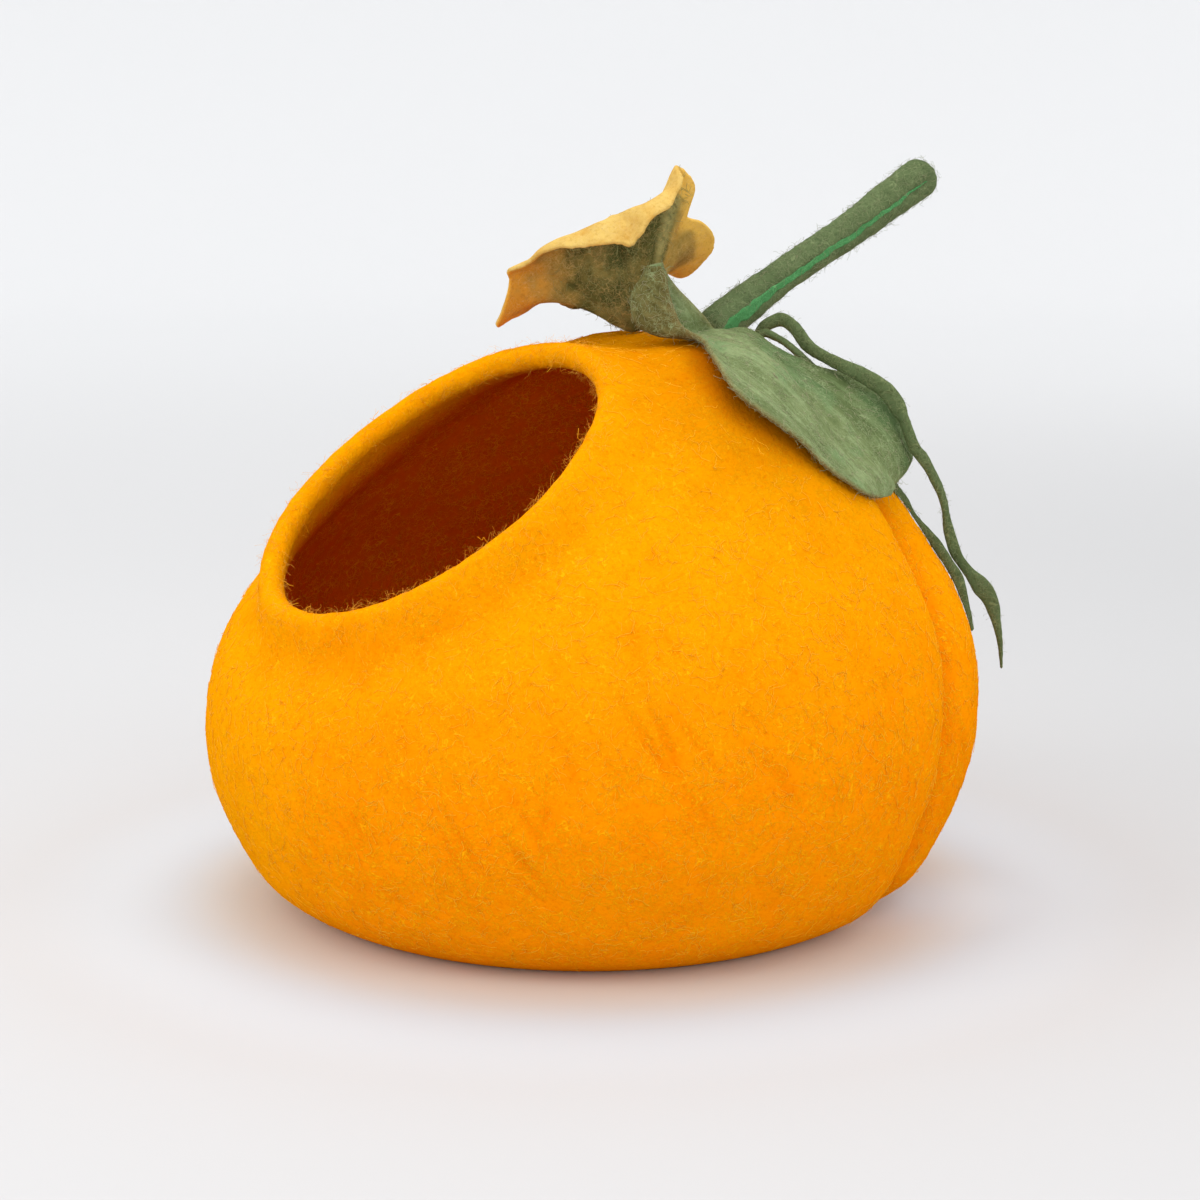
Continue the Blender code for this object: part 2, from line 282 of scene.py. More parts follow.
def buildPaper():  # a round sheet of pale paper whose border sweeps up into a low wall
    sides, flat, sweep = stage["sides"], stage["floorRadius"], stage["sweep"]
    turns = np.linspace(0, math.pi / 2, stage["sweepRings"])
    radii = np.concatenate([stage["flatRings"], flat + sweep * np.sin(turns), (flat + sweep,)])
    flatHeights = np.zeros(len(stage["flatRings"]))
    heights = np.concatenate([flatHeights, sweep * (1 - np.cos(turns)), (stage["wallHeight"],)])
    around = np.arange(sides) * 2 * math.pi / sides
    grid = np.stack([radii[:, None] * np.cos(around), radii[:, None] * np.sin(around),
                     heights[:, None] * np.ones(sides)], axis=-1)
    faces = [face[::-1] for face in gridFaces(len(radii), sides, True)]  # the pale side faces up and inwards
    faces += fanFaces(range(sides), len(radii) * sides)
    points = np.concatenate([grid.reshape(-1, 3), np.zeros((1, 3))])
    mesh = bpy.data.meshes.new("paperSweep")
    mesh.from_pydata(points.tolist(), [], faces)
    mesh.shade_smooth()
    mesh.materials.append(paperMaterial())
    linked("paperSweep", mesh)


def lightStage():
    world = bpy.data.worlds.new("softSky")
    world.use_nodes = True
    background = world.node_tree.nodes["Background"]
    background.inputs["Color"].default_value = (*stage["skyTone"], 1.0)
    background.inputs["Strength"].default_value = stage["skyStrength"]
    bpy.context.scene.world = world
    for name, place, size, power, colour in lamps:
        data = bpy.data.lights.new(name, "AREA")
        data.shape = "DISK"
        data.size = size
        data.energy = power
        data.color = colour
        lamp = linked(name, data)
        lamp.location = place
        lamp.rotation_euler = (Vector(stage["lampsAim"]) - Vector(place)).to_track_quat("-Z", "Y").to_euler()
    bpy.context.scene.view_settings.view_transform = "Standard"


felt = {  # how every felt is marked: where noise begins and ends to show, and how far each mark stands up
    "blotchShows": (0.42, 0.72),
    "grainShows": (0.32, 0.52),
    "coarseFibre": {"warp": 2.4, "width": 0.05, "cover": 0.06},
    "fineFibre": {"warp": 2.8, "width": 0.075, "cover": 0.12},
    "fineScale": 1.9,
    "fineShare": 0.75,
    "pitScale": 0.42,
    "pitShows": (0.08, 0.24),
    "pitPatches": 6,
    "pitPatchShows": (0.52, 0.62),
    "grainRise": 1.2,
    "fibreRise": 0.45,
    "pitDrop": 0.5,
    "roughness": 0.95,
    "sheenRoughness": 0.45,
}


def fibreLines(nodes, where, scale, warp, width, cover):  # thin curly lines where warped cells meet
    bend = nodes.noise(where, scale * 0.55, result="Color")
    shift = nodes.vector("SCALE", nodes.vector("SUBTRACT", bend, (0.5, 0.5, 0.5)), warp / scale)
    warped = nodes.vector("ADD", where, shift)
    cells = nodes.add("ShaderNodeTexVoronoi", {"feature": "DISTANCE_TO_EDGE"}, Vector=warped, Scale=scale)
    line = nodes.range(cells.outputs["Distance"], 0.0, width, 1.0, 0.0)
    return nodes.times(line, nodes.range(nodes.noise(where, scale * 0.3, 1.0), 0.5 - cover, 0.62 - cover))


def feltShader(name, paint=None, paintedShadow=None):
    # paint gives the felt its base colour, painted light and shade included for the shell and leaf; the last
    # argument is an attribute and the colour of painted shadow that it darkens with
    look = looks[name]
    material, nodes, shader, where = newMaterial(name, felt["roughness"], look["shine"])
    base = paint(nodes, where) if paint else look["base"]
    blotch = nodes.noise(where, look["blotchScale"], 3.0, 0.6)
    blotch = nodes.range(blotch, *felt["blotchShows"], 0.0, look["blotch"])
    colour = nodes.mix(blotch, base, look["deep"], "MULTIPLY")
    grain = nodes.noise(where, look["grainScale"], 4.0, 0.66)
    dark = nodes.range(grain, *felt["grainShows"], look["grain"], 0.0)
    colour = nodes.mix(dark, colour, look["deep"], "MULTIPLY")
    coarse = fibreLines(nodes, where, look["fibreScale"], **felt["coarseFibre"])
    fine = fibreLines(nodes, where, look["fibreScale"] * felt["fineScale"], **felt["fineFibre"])
    strands = nodes.math("MAXIMUM", coarse, nodes.times(fine, felt["fineShare"]))
    colour = nodes.mix(nodes.times(strands, look["fibre"]), colour, look["pale"])
    pits = nodes.add("ShaderNodeTexVoronoi", Vector=where, Scale=look["grainScale"] * felt["pitScale"])
    pit = nodes.range(pits.outputs["Distance"], *felt["pitShows"], 1.0, 0.0)
    patches = nodes.noise(where, look["blotchScale"] * felt["pitPatches"])
    patches = nodes.range(patches, *felt["pitPatchShows"])
    pit = nodes.times(nodes.times(pit, patches), look["pit"])
    colour = nodes.mix(pit, colour, look["deep"], "MULTIPLY")
    # painted shadow darkens the felt, as under the leaf
    if paintedShadow:
        colour = nodes.mix(nodes.attribute(paintedShadow[0]), colour, paintedShadow[1], "MULTIPLY")
    height = nodes.plus(nodes.times(grain, felt["grainRise"]), nodes.times(strands, felt["fibreRise"]))
    height = nodes.minus(height, nodes.times(pit, felt["pitDrop"]))
    bump = nodes.add("ShaderNodeBump", Height=height, Strength=look["bump"], Distance=look["bumpDepth"] * mm)
    nodes.join(shader.inputs["Base Color"], colour)
    nodes.join(shader.inputs["Normal"], bump)
    shader.inputs["Sheen Weight"].default_value = look["sheen"]
    shader.inputs["Sheen Roughness"].default_value = felt["sheenRoughness"]
    shader.inputs["Sheen Tint"].default_value = (*look["pale"], 1.0)
    return material


shell = {
    "wall": 9.0,
    "heart": (0.0, 0.0, 118.0),
    "lipWall": 15.0,
    "lipTaper": 34.0,
    "columns": 416,
    "facing": -35.0,  # the side that shows, where columns lie closer together
    "crowding": 0.45,
    "outsideRings": 192,
    "outsideSpacing": 1.1,
    "lipRings": 14,
    "insideRings": 30,
    "insideSpacing": 1.6,
    "body": (  # angle from straight up, reach from the heart
        (0, 214.0), (20, 224.5), (40, 211.0), (60, 213.0), (80, 228.0), (95, 231.5),
        (108, 226.0), (116, 221.0), (122, 211.0), (127, 199.0), (134, 178.0),
    ),
    "crownLean": 31.0,
    "leanStart": 60.0,
    "leanSpan": 280.0,
    "furrows": (-46.0, 0.0, 46.0),
    "furrowRows": (  # angle from straight up, depth, half-width, how much further round the outer two lie
        (8, 0.0, 20.0, 0.0), (30, 8.0, 34.0, 0.0), (60, 14.0, 46.0, 2.5), (75, 16.0, 50.0, 6.5),
        (90, 18.0, 50.0, 10.5), (110, 15.0, 46.0, 13.0), (124, 4.0, 32.0, 12.0), (127, 0.0, 30.0, 12.0),
    ),
    "furrowSharpness": 2.4,
    "mouthTilt": 37.1,
    "mouthRadius": 114.5,
    "mouthFromHeart": 182.0,
    "collar": 80.0,
    "troughDepth": 7.5,
    "troughWidth": 60.0,
    "ripples": ((1.3, 85, 1), (0.6, 28, 2), (0.25, 9, 3)),  # height, size, seed
    "lipRipples": ((0.5, 12, 4),),
    "levelFoot": 25.0,  # ripples grow up to this height
}
creases = (  # turn from the front, height, length, lean from upright, half-width, depth
    (40, 90, 42, 30, 2.6, 1.9), (50, 99, 40, 31, 2.5, 1.6), (49, 77, 47, 33, 2.8, 1.9),
    (52, 108, 18, 4, 2.5, 1.6), (55, 131, 27, 19, 2.6, 1.5), (68, 144, 52, 20, 3, 2.3),
    (66, 142, 56, 30, 3, 2.2), (72, 147, 46, 37, 2.8, 1.6), (81, 154, 25, 41, 2.6, 1.2),
    (74, 101, 32, 34, 2.8, 1.2), (84, 120, 43, 39, 2.8, 1.2), (65, 193, 39, 15, 2.8, 1.2),
    (70, 191, 20, 18, 2.5, 1.2), (88, 176, 20, 2, 2.5, 1.2), (40, 116, 24, 23, 2.5, 1.2),
    (24, 92, 30, 14, 2.5, 1.1), (39, 76, 44, 17, 2.5, 1.1), (50, 59, 31, 42, 2.6, 1.1),
    (65, 96, 32, 26, 2.6, 1.1), (104, 160, 36, 18, 2.6, 1.2), (-35, 95, 44, -25, 2.8, 1.9),
    (-52, 120, 38, -18, 2.6, 1.5), (-70, 140, 50, -30, 3, 1.9), (-95, 110, 40, -20, 2.8, 1.5),
    (-120, 150, 46, 25, 3, 1.6), (165, 140, 44, -15, 2.8, 1.5), (130, 100, 40, 22, 2.8, 1.5),
)
heart = np.array(shell["heart"]) * mm
mouthTilt = math.radians(shell["mouthTilt"])
mouthAxis = np.array((0.0, -math.sin(mouthTilt), math.cos(mouthTilt)))
rimReach = math.hypot(shell["mouthRadius"], shell["mouthFromHeart"]) * mm
rimAngle = math.atan2(shell["mouthRadius"], shell["mouthFromHeart"])


def bodyReach(directions):  # angle from straight up, and the plain body's reach from the heart
    polar = np.degrees(np.arccos(np.clip(directions[..., 2], -1, 1)))
    return polar, smoothRows(shell["body"], polar)[..., 0] * mm


def furrowAt(directions):  # distance beyond the nearest furrow, its depth there and at its bottom
    polar, reach = bodyReach(directions)
    depth, halfWidth, further = np.moveaxis(smoothRows(shell["furrowRows"], polar), -1, 0)
    depth, halfWidth = depth * mm, halfWidth * mm
    turn = np.degrees(np.arctan2(directions[..., 0], directions[..., 1]))
    beyond = np.stack([(furrow + np.sign(furrow) * further - turn) * (np.sign(furrow) or 1)
                       for furrow in shell["furrows"]])
    nearest = np.take_along_axis(beyond, np.argmin(np.abs(beyond), axis=0)[None], axis=0)[0]
    across = np.radians(nearest) * reach * np.sin(np.radians(polar))
    furrow = depth * np.clip(1 - np.abs(across) / halfWidth, 0, 1) ** shell["furrowSharpness"]
    return across, furrow, depth


def fromLipShare(fromLip, width):  # how far a point lies over a band that starts at the lip
    return np.clip(fromLip / (width * mm), 0, 1)


def shellOutside(directions):  # the outside of the felt along directions from the heart
    upward = directions[..., 2]
    polar, reach = bodyReach(directions)
    reach = reach - np.where(polar > shell["furrowRows"][-1][0], 0, furrowAt(directions)[1])
    floorReach = heart[2] / np.maximum(-upward, 1e-6)
    reach = np.where(upward < 0, np.minimum(reach, floorReach), reach)
    fromLip = (np.arccos(np.clip(directions @ mouthAxis, -1, 1)) - rimAngle) * rimReach
    drawnIn = ease(fromLipShare(fromLip, shell["collar"]))
    reach = rimReach + (reach - rimReach) * drawnIn
    forwards = np.clip(0.8 - upward + mouthAxis[2], 0.2, 1)  # the trough is deepest at the front
    trough = np.sin(math.pi * fromLipShare(fromLip, shell["troughWidth"])) ** 2
    reach = reach - forwards * shell["troughDepth"] * mm * trough
    points = heart + directions * reach[..., None]
    lean = np.maximum(points[..., 2] - shell["leanStart"] * mm, 0) / (shell["leanSpan"] * mm)
    points[..., 1] += shell["crownLean"] * mm * lean**1.5 * drawnIn
    return points


def mouthDirections(fromAxis, roundAxis):
    side = np.array((1.0, 0.0, 0.0))
    rise = np.cross(mouthAxis, side)
    sideways = np.cos(roundAxis)[..., None] * side + np.sin(roundAxis)[..., None] * rise
    return mouthAxis * np.cos(fromAxis)[..., None] + sideways * np.sin(fromAxis)[..., None]


def creaseDepth(points, normals):
    depth = np.zeros(points.shape[:-1])
    turns = np.degrees(np.arctan2(points[..., 0], -points[..., 1]))
    for turn, height, length, lean, halfWidth, deep in creases:
        # its middle is the point nearest in turn and height, with four millimetres taken as one degree
        gap = np.hypot((np.abs(turns - turn) + 180) % 360 - 180, (points[..., 2] / mm - height) / 4)
        nearest = np.unravel_index(np.argmin(np.abs(gap)), gap.shape)
        centre, outwards = points[nearest], normals[nearest]
        east = unit(np.cross((0, 0, 1.0), outwards))
        rise = np.cross(outwards, east)
        down = -rise * math.cos(math.radians(lean)) + east * math.sin(math.radians(lean))
        aside = np.cross(outwards, down)
        offset = points - centre
        along = offset @ down / (length * 0.6 * mm)
        across = offset @ aside / (halfWidth * mm) + 0.5 * along**2
        near = np.abs(offset @ outwards) < 40 * mm
        depth += np.where(near, deep * mm * np.exp(-(across**2) - along**2 * 1.3), 0)
    return depth


def outwardNormals(outside):
    normals = gridNormals(outside, True)
    return -normals if (normals[0] @ mouthAxis).mean() < 0 else normals


def buildShell(material):
    columns = shell["columns"]
    lipRadius = shell["lipWall"] / 2 * mm
    start = rimAngle + lipRadius / rimReach
    share = np.linspace(0, 1, shell["outsideRings"]) ** shell["outsideSpacing"]
    fromAxis = (start + (math.pi - start) * share)[:-1]
    steps = np.arange(columns) * 2 * math.pi / columns
    roundAxis = steps - shell["crowding"] * np.sin(steps - math.radians(shell["facing"]))
    directions = mouthDirections(*np.meshgrid(fromAxis, roundAxis, indexing="ij"))
    outside = shellOutside(directions)
    normals = outwardNormals(outside)
    aboveFloor = ease(outside[..., 2:] / (shell["levelFoot"] * mm))
    crease = creaseDepth(outside, normals)
    uneven = unevenness(outside, shell["ripples"]) * mm - crease
    outside = outside + normals * uneven[..., None] * aboveFloor
    outside[..., 2] = np.maximum(outside[..., 2], 0)
    normals = outwardNormals(outside)
    # the lip turns over in a half circle, and the wall thins from there to its own thickness
    towardsMouth = unit(outside[0] - outside[2])
    lipCentre = outside[0] - normals[0] * lipRadius
    turns = np.linspace(0, math.pi, shell["lipRings"] + 2)[1:-1]
    lip = lipCentre + lipRadius * (
        normals[0] * np.cos(turns)[:, None, None] + towardsMouth * np.sin(turns)[:, None, None])
    lip = lip + normals[0] * (unevenness(lip, shell["lipRipples"]) * mm)[..., None]
    picks = np.linspace(0, 1, shell["insideRings"]) ** shell["insideSpacing"] * (len(outside) - 1)
    picks = np.unique(picks.astype(int))
    fromLip = (fromAxis[picks] - start) * rimReach
    wall = shell["wall"] + (shell["lipWall"] - shell["wall"]) * (1 - ease(fromLip / (shell["lipTaper"] * mm)))
    inside = outside[picks] - normals[picks] * (wall * mm)[:, None, None]
    inside[..., 2] = np.maximum(inside[..., 2], shell["wall"] * mm)
    grid = np.concatenate([inside[::-1], lip[::-1], outside])
    footPole = shellOutside(-mouthAxis[None, :])[0]
    points = np.concatenate([grid.reshape(-1, 3), [footPole + (0, 0, shell["wall"] * mm), footPole]])
    piece = makePiece("feltShell", points, closedFaces(len(grid), columns), material)
    markShell(piece, points, fromLip, outside, directions, fromAxis, crease)
    flat = [Vector(point) for point in outside.reshape(-1, 3).tolist()]
    return piece, BVHTree.FromPolygons(flat, gridFaces(len(outside), columns, True))


marks = {
    "innerStart": 2.0,  # beyond the lip the felt takes the painted shade of the inside, after the next distance wholly
    "innerSpan": 24.0,
    "edgeShares": (0.26, 0.86),  # the stretch of the leaf's near edge that casts a painted shadow on the felt
    "edgeSteps": 60,
    "shadeCore": 19.0,
    "shadeReach": 58.0,
    "shadeFaint": 0.4,
    "furrowFull": 9.0,  # depths at which a furrow and its side get their painted shade and painted highlight in full, and a crease its painted shade
    "furrowSide": 3.0,
    "creaseFull": 2.0,
    "tufts": ((1.6, 11, 5),),  # height, size, seed
    "troughPatches": ((0.6, 18, 8),),
    "woolPatches": ((0.5, 30, 6),),
    "nearSide": (0.82, -0.53, 0.2),  # wool is thicker on this side
    "bareFoot": 6.0,
    "bareFootSpan": 14.0,
    "lipWool": 0.3,
}


def markShell(piece, points, fromLip, outside, directions, fromAxis, crease):
    # what painted shade and painted highlight each stretch of felt gets, for its paint, and where loose wool
    # grows, in tufts on the lip
    columns = shell["columns"]
    ringsIn, ringsLip, ringsOut = len(fromLip), shell["lipRings"], len(outside)

    def fromRings(insideValues, lipValues, outsideValues, tips):
        rings = np.concatenate([insideValues, lipValues, outsideValues])
        return np.append(np.repeat(rings, columns), tips)

    def fromOutside(values):
        return np.concatenate([np.zeros((ringsIn + ringsLip) * columns), values.ravel(), (0, 0)])

    # painted shade inside the mouth, from just past the lip
    deeper = ease((fromLip / mm - marks["innerStart"]) / marks["innerSpan"])
    inner = fromRings(deeper[::-1], np.zeros(ringsLip), np.zeros(ringsOut), (1, 0))
    crest = fromRings(np.zeros(ringsIn), np.sin(np.linspace(0.15, math.pi, ringsLip)) ** 0.5,
                      np.clip(1 - np.arange(ringsOut) / 3, 0, 1), (0, 0))
    clumps = 0.3 + 0.7 * ease(unevenness(points, marks["tufts"]) + 0.25)
    nearSide = ease(points @ np.array(marks["nearSide"]) / 0.12 + 0.5)
    steps = marks["edgeSteps"]
    # painted shadow near the leaf's near edge, strong close by and faint further off
    edge = leafPoints(np.linspace(*marks["edgeShares"], steps), np.full(steps, -1.0))
    weight = np.sin(np.linspace(0.1, 1.0, steps) * math.pi) ** 0.6
    away = np.linalg.norm(points[:, None] - edge[None], axis=2) / mm
    faint = marks["shadeFaint"] * np.exp(-((away / marks["shadeReach"]) ** 2))
    paintedLeafShadow = np.maximum(np.exp(-((away / marks["shadeCore"]) ** 2)), faint)
    paintedLeafShadow = (paintedLeafShadow * weight).max(axis=1) * (1 - inner)
    beyond, depth, deepest = (value / mm for value in furrowAt(directions))
    # masks for the painted shade past a furrow and the painted highlight beside it
    furrow = ease(deepest / marks["furrowFull"]) * ease(depth / marks["furrowSide"])
    # painted shade in the trough round the lip, in patches
    trough = np.sin(math.pi * fromLipShare((fromAxis - rimAngle) * rimReach, shell["troughWidth"])) ** 2
    trough = trough[:, None] * np.clip(0.4 + unevenness(outside, marks["troughPatches"]), 0, 1)
    outer = fromRings(np.zeros(ringsIn), np.ones(ringsLip), np.ones(ringsOut), (0, 0))
    showing = outer * ease((points[:, 2] / mm - marks["bareFoot"]) / marks["bareFootSpan"])
    showing = showing * (0.75 + unevenness(points, marks["woolPatches"])) * (0.35 + 0.65 * nearSide)
    pointAttribute(piece, "beyond", fromOutside(beyond))
    pointAttribute(piece, "furrow", fromOutside(furrow))
    # painted shade mask: creases and the lip trough
    pointAttribute(piece, "crease", fromOutside(crease / mm / marks["creaseFull"] + trough))
    pointAttribute(piece, "paintedLeafShadow", paintedLeafShadow)
    pointAttribute(piece, "inner", inner)
    pointAttribute(piece, "rim", crest * clumps * (0.25 + 0.75 * nearSide))
    # fewer loose strands in the painted shadow, away from the lip
    unshaded = np.where(crest > 0.3, marks["lipWool"], np.clip(1.2 - 2.4 * paintedLeafShadow, 0, 1))
    pointAttribute(piece, "showing", unshaded * showing)


def lifted(points, surface, gap):  # moved straight out from the heart where nearer than the gap to the felt
    flat = points.reshape(-1, 3).copy()
    origin = Vector(heart)
    for i, point in enumerate(flat):
        outwards = (Vector(point) - origin).normalized()
        felt = surface.ray_cast(origin, outwards)[0]
        if felt is not None and (Vector(point) - felt).dot(outwards) < gap:
            flat[i] = felt + outwards * gap
    return flat.reshape(points.shape)


edgeShares = np.array((0.0, 0.05, 0.18, 0.4, 0.7))  # of half a felt's thickness, where its cut edge rounds


def edgeSteps(length, half, count):  # distances across a sheet, close together at both cut edges
    near = edgeShares * half
    return np.concatenate([near, np.linspace(half, length - half, count), (length - near)[::-1]])


def distanceAlong(grid, axis):
    steps = np.linalg.norm(np.diff(grid, axis=axis), axis=-1)
    return np.concatenate([np.zeros_like(steps.take([0], axis=axis)), np.cumsum(steps, axis=axis)], axis=axis)


def halfThickness(mid, half, wrap):
    down = distanceAlong(mid, 0)
    distance = down[-1:] - down
    if not wrap:
        across = distanceAlong(mid, 1)
        distance = np.min([down, distance, across, across[:, -1:] - across], axis=0)
    return half * np.sqrt(np.clip(1 - (1 - np.clip(distance / half, 0, 1)) ** 2, 0, 1))


def sheetPiece(name, mid, half, uneven, values, material):  # an open grid made into a closed sheet
    rows, columns = mid.shape[:2]
    normals = gridNormals(mid, False)
    thick = halfThickness(mid, half, False)[..., None]
    upper = mid + normals * thick * (1 + uneven[0][..., None])
    lower = mid - normals * thick * (1 + uneven[1][..., None])
    index = np.arange(rows * columns).reshape(rows, columns)
    under = index + rows * columns
    for edge in ((0, slice(None)), (-1, slice(None)), (slice(None), 0), (slice(None), -1)):
        under[edge] = index[edge]
    faces = np.array(gridFaces(rows, columns, False))
    faces = np.concatenate([faces, under.ravel()[faces][:, ::-1]])
    points = np.concatenate([upper.reshape(-1, 3), lower.reshape(-1, 3)])
    values = {key: np.tile(value.ravel(), 2) for key, value in values.items()}
    values["side"] = np.repeat((1.0, 0.0), rows * columns)
    return trimmedPiece(name, points, faces.tolist(), values, material)


def trimmedPiece(name, points, faces, values, material):  # leaves out points that no face uses
    used = np.unique(np.concatenate([np.asarray(face) for face in faces]))
    places = np.full(len(points), -1)
    places[used] = np.arange(len(used))
    faces = [tuple(int(i) for i in places[list(face)]) for face in faces]
    piece = makePiece(name, points[used], faces, material)
    for key, value in values.items():
        pointAttribute(piece, key, value[used])
    return piece


leaf = {
    "felt": 3.2,
    "gap": 1.3,
    "length": 235.0,
    "fold": 1.6,
    "ripples": ((0.7, 22, 11), (0.45, 9, 12)),  # height, size, seed
    "upperLumps": ((0.22, 4, 13),),
    "lowerLumps": ((0.2, 4.5, 14),),
    "borderWidth": 1.3,
    "rows": 150,
    "columns": 84,
    "sections": (  # share of the length, then near edge, rib and far edge
        (0.00, 16, 41, 377, 9, 38, 377, 12, 45, 379),
        (0.06, 20, 42, 373, 7, 35, 370, 11, 49, 372),
        (0.13, 24, 42, 362, 5, 29, 358, 14, 54, 364),
        (0.21, 29, 43, 351, 9, 29, 345, 19, 60, 356),
        (0.29, 34, 45, 343, 20, 38, 338, 24, 67, 347),
        (0.37, 54, 44, 338, 33, 61, 335, 20, 80, 337),
        (0.46, 86, 31, 330, 49, 70, 332, 24, 98, 337),
        (0.55, 113, 25, 317, 68, 78, 322, 38, 110, 326),
        (0.66, 127, 36, 303, 86, 86, 310, 54, 127, 316),
        (0.77, 137, 57, 285, 102, 98, 294, 70, 145, 309),
        (0.87, 145, 72, 269, 116, 110, 276, 86, 159, 298),
        (0.94, 147, 93, 255, 124, 124, 263, 99, 164, 276),
        (0.98, 137, 113, 249, 122, 134, 256, 105, 160, 264),
        (1.00, 126, 127, 248, 118, 139, 252, 109, 152, 257),
    ),
}


def leafPoints(along, across):
    row = smoothRows(leaf["sections"], along) * mm
    near, rib, far = row[..., 0:3], row[..., 3:6], row[..., 6:9]
    across = across[..., None]
    return rib + (far - near) / 2 * across + ((near + far) / 2 - rib) * across**2


def buildLeaf(surface, material):
    half = leaf["felt"] / 2 * mm
    length = leaf["length"] * mm
    alongSteps = edgeSteps(length, half, leaf["rows"]) / length
    grid, border, across = [], [], []
    for along in alongSteps:
        trial = leafPoints(np.full(21, along), np.linspace(-1, 1, 21))
        width = np.linalg.norm(np.diff(trial, axis=0), axis=1).sum()
        steps = edgeSteps(width, min(half, width / 4), leaf["columns"]) / width * 2 - 1
        grid.append(leafPoints(np.full(len(steps), along), steps))
        border.append(np.exp(-(1 - np.abs(steps)) * width / 2 / (leaf["borderWidth"] * mm)))
        across.append(steps)
    mid, across = np.array(grid), np.array(across)
    normals = gridNormals(mid, False)
    fold = leaf["fold"] * np.exp(-((across / 0.16) ** 2)) * ease((alongSteps - 0.3) / 0.2)[:, None]
    mid = mid + normals * ((unevenness(mid, leaf["ripples"]) + fold) * mm)[..., None]
    mid = lifted(mid, surface, leaf["gap"] * mm + half)
    uneven = (unevenness(mid, leaf["upperLumps"]), unevenness(mid, leaf["lowerLumps"]))
    # painted shade: the far half of the blade darker, from about the middle of its length
    far = ease((across - 0.05) / 0.5) * ease((alongSteps - 0.4) / 0.12)[:, None]
    return sheetPiece("feltLeaf", mid, half, uneven, {"border": np.array(border), "far": far}, material)


rollMaking = {
    "gap": 0.6,
    "endCrowding": 0.25,
    "grooveAngle": 0.16,  # half-width of the groove, in radians
    "grooveEnds": 12.0,
    "lumps": ((1.0, 9, 0), (0.6, 3.5, 1)),  # height, size, seed after the roll's own
}
rolls = {
    "feltStem": {
        "sections": (  # share, centre x, y, z, width, thickness
            (0.00, 3, 82, 331, 26, 26), (0.12, 3, 99, 342, 25, 25), (0.32, 3, 141, 366, 20.5, 20.5),
            (0.55, 3, 185, 388, 21, 21), (0.85, 3, 232, 414, 24.5, 24.5), (1.00, 3, 254, 426, 24.5, 24.5),
        ),
        "round": 72, "rings": 220, "groove": 1.8, "lumps": 0.55, "seed": 41,
    },
    "tendrilLong": {
        "sections": (
            (0.00, 12, 112, 322, 6, 6), (0.05, 15, 117, 336, 6, 7), (0.09, 22, 125, 341, 5, 8.5),
            (0.13, 33, 127, 337, 5, 8.5), (0.17, 41, 130, 328, 5, 8.5), (0.24, 60, 132, 321, 5, 7.5),
            (0.28, 72, 133, 318, 5, 8), (0.34, 87, 144, 310, 5, 10), (0.37, 95, 149, 304, 5, 10.5),
            (0.42, 102, 155, 291, 5, 9.5), (0.46, 108, 155, 283, 5, 8), (0.49, 113, 156, 273, 4.5, 7),
            (0.53, 115, 162, 265, 4.5, 7.5), (0.58, 113, 173, 251, 4, 6.5),
            (0.62, 113, 179, 240, 4, 5.5), (0.69, 111, 186, 219, 4, 7.5), (0.73, 112, 190, 207, 4, 7),
            (0.79, 115, 198, 194, 4, 6.5), (0.83, 120, 205, 184, 3.5, 11),
            (0.87, 124, 210, 174, 3.5, 9), (0.90, 126, 212, 164, 3, 6),
            (0.95, 128, 214, 150, 2.5, 3.5), (1.00, 130, 214, 134, 1.5, 2),
        ),
        "round": 28, "rings": 260, "groove": 0.0, "lumps": 0.35, "seed": 43,
    },
    "tendrilBack": {
        "sections": (
            (0.00, 22, 104, 327, 6, 5), (0.05, 24, 112, 334, 6, 5), (0.08, 30, 117, 331, 5, 4.5),
            (0.16, 43, 126, 320, 5, 4.5), (0.30, 62, 139, 297, 5, 5), (0.44, 78, 149, 270, 5.5, 6),
            (0.57, 95.7, 155, 245, 6, 8), (0.62, 94.7, 163, 236, 6, 8.5), (0.66, 97.7, 167, 228, 5, 6.5),
            (0.72, 103.7, 173, 218, 6, 8), (0.77, 108.7, 179, 209, 6, 8), (0.82, 114.7, 183, 199, 6, 8),
            (0.86, 117.7, 187, 191, 6, 8.5), (0.91, 119.7, 190, 180, 6, 8), (0.96, 120.7, 193, 169, 5, 6.5),
            (1.00, 123, 196, 158, 2, 3),
        ),
        "round": 24, "rings": 220, "groove": 0.0, "lumps": 0.3, "seed": 45,
    },
}


def rollFrame(rows, along):
    step = 0.01
    ahead = smoothRows(rows, np.minimum(along + step, 1))[..., :3]
    behind = smoothRows(rows, np.maximum(along - step, 0))[..., :3]
    tangent = unit(ahead - behind)
    across = unit(np.cross(tangent, (0, 0, 1.0)))
    return across, np.cross(across, tangent)


def rollPoints(roll, along, turn, proud=0.0):  # proud: how far outside the felt, in millimetres
    row = smoothRows(roll["sections"], along)
    across, rise = rollFrame(roll["sections"], along)
    centres = smoothRows(roll["sections"], np.linspace(0, 1, 60))[:, :3]
    length = np.linalg.norm(np.diff(centres, axis=0), axis=1).sum()
    fromEnd = np.minimum(along, 1 - along) * length
    rounding = np.clip(fromEnd / (row[..., 3] / 2), 0, 1)
    shrink = np.sqrt(np.clip(1 - (1 - rounding) ** 2, 0, 1))
    dent = roll["groove"] * np.exp(-((turn / rollMaking["grooveAngle"]) ** 2))
    dent = dent * ease(fromEnd / rollMaking["grooveEnds"])
    flat = (row[..., 3] / 2 - dent + proud) * np.cos(turn) * shrink
    thick = (row[..., 4] / 2 + proud) * np.sin(turn) * shrink
    return (row[..., :3] + across * flat[..., None] + rise * thick[..., None]) * mm


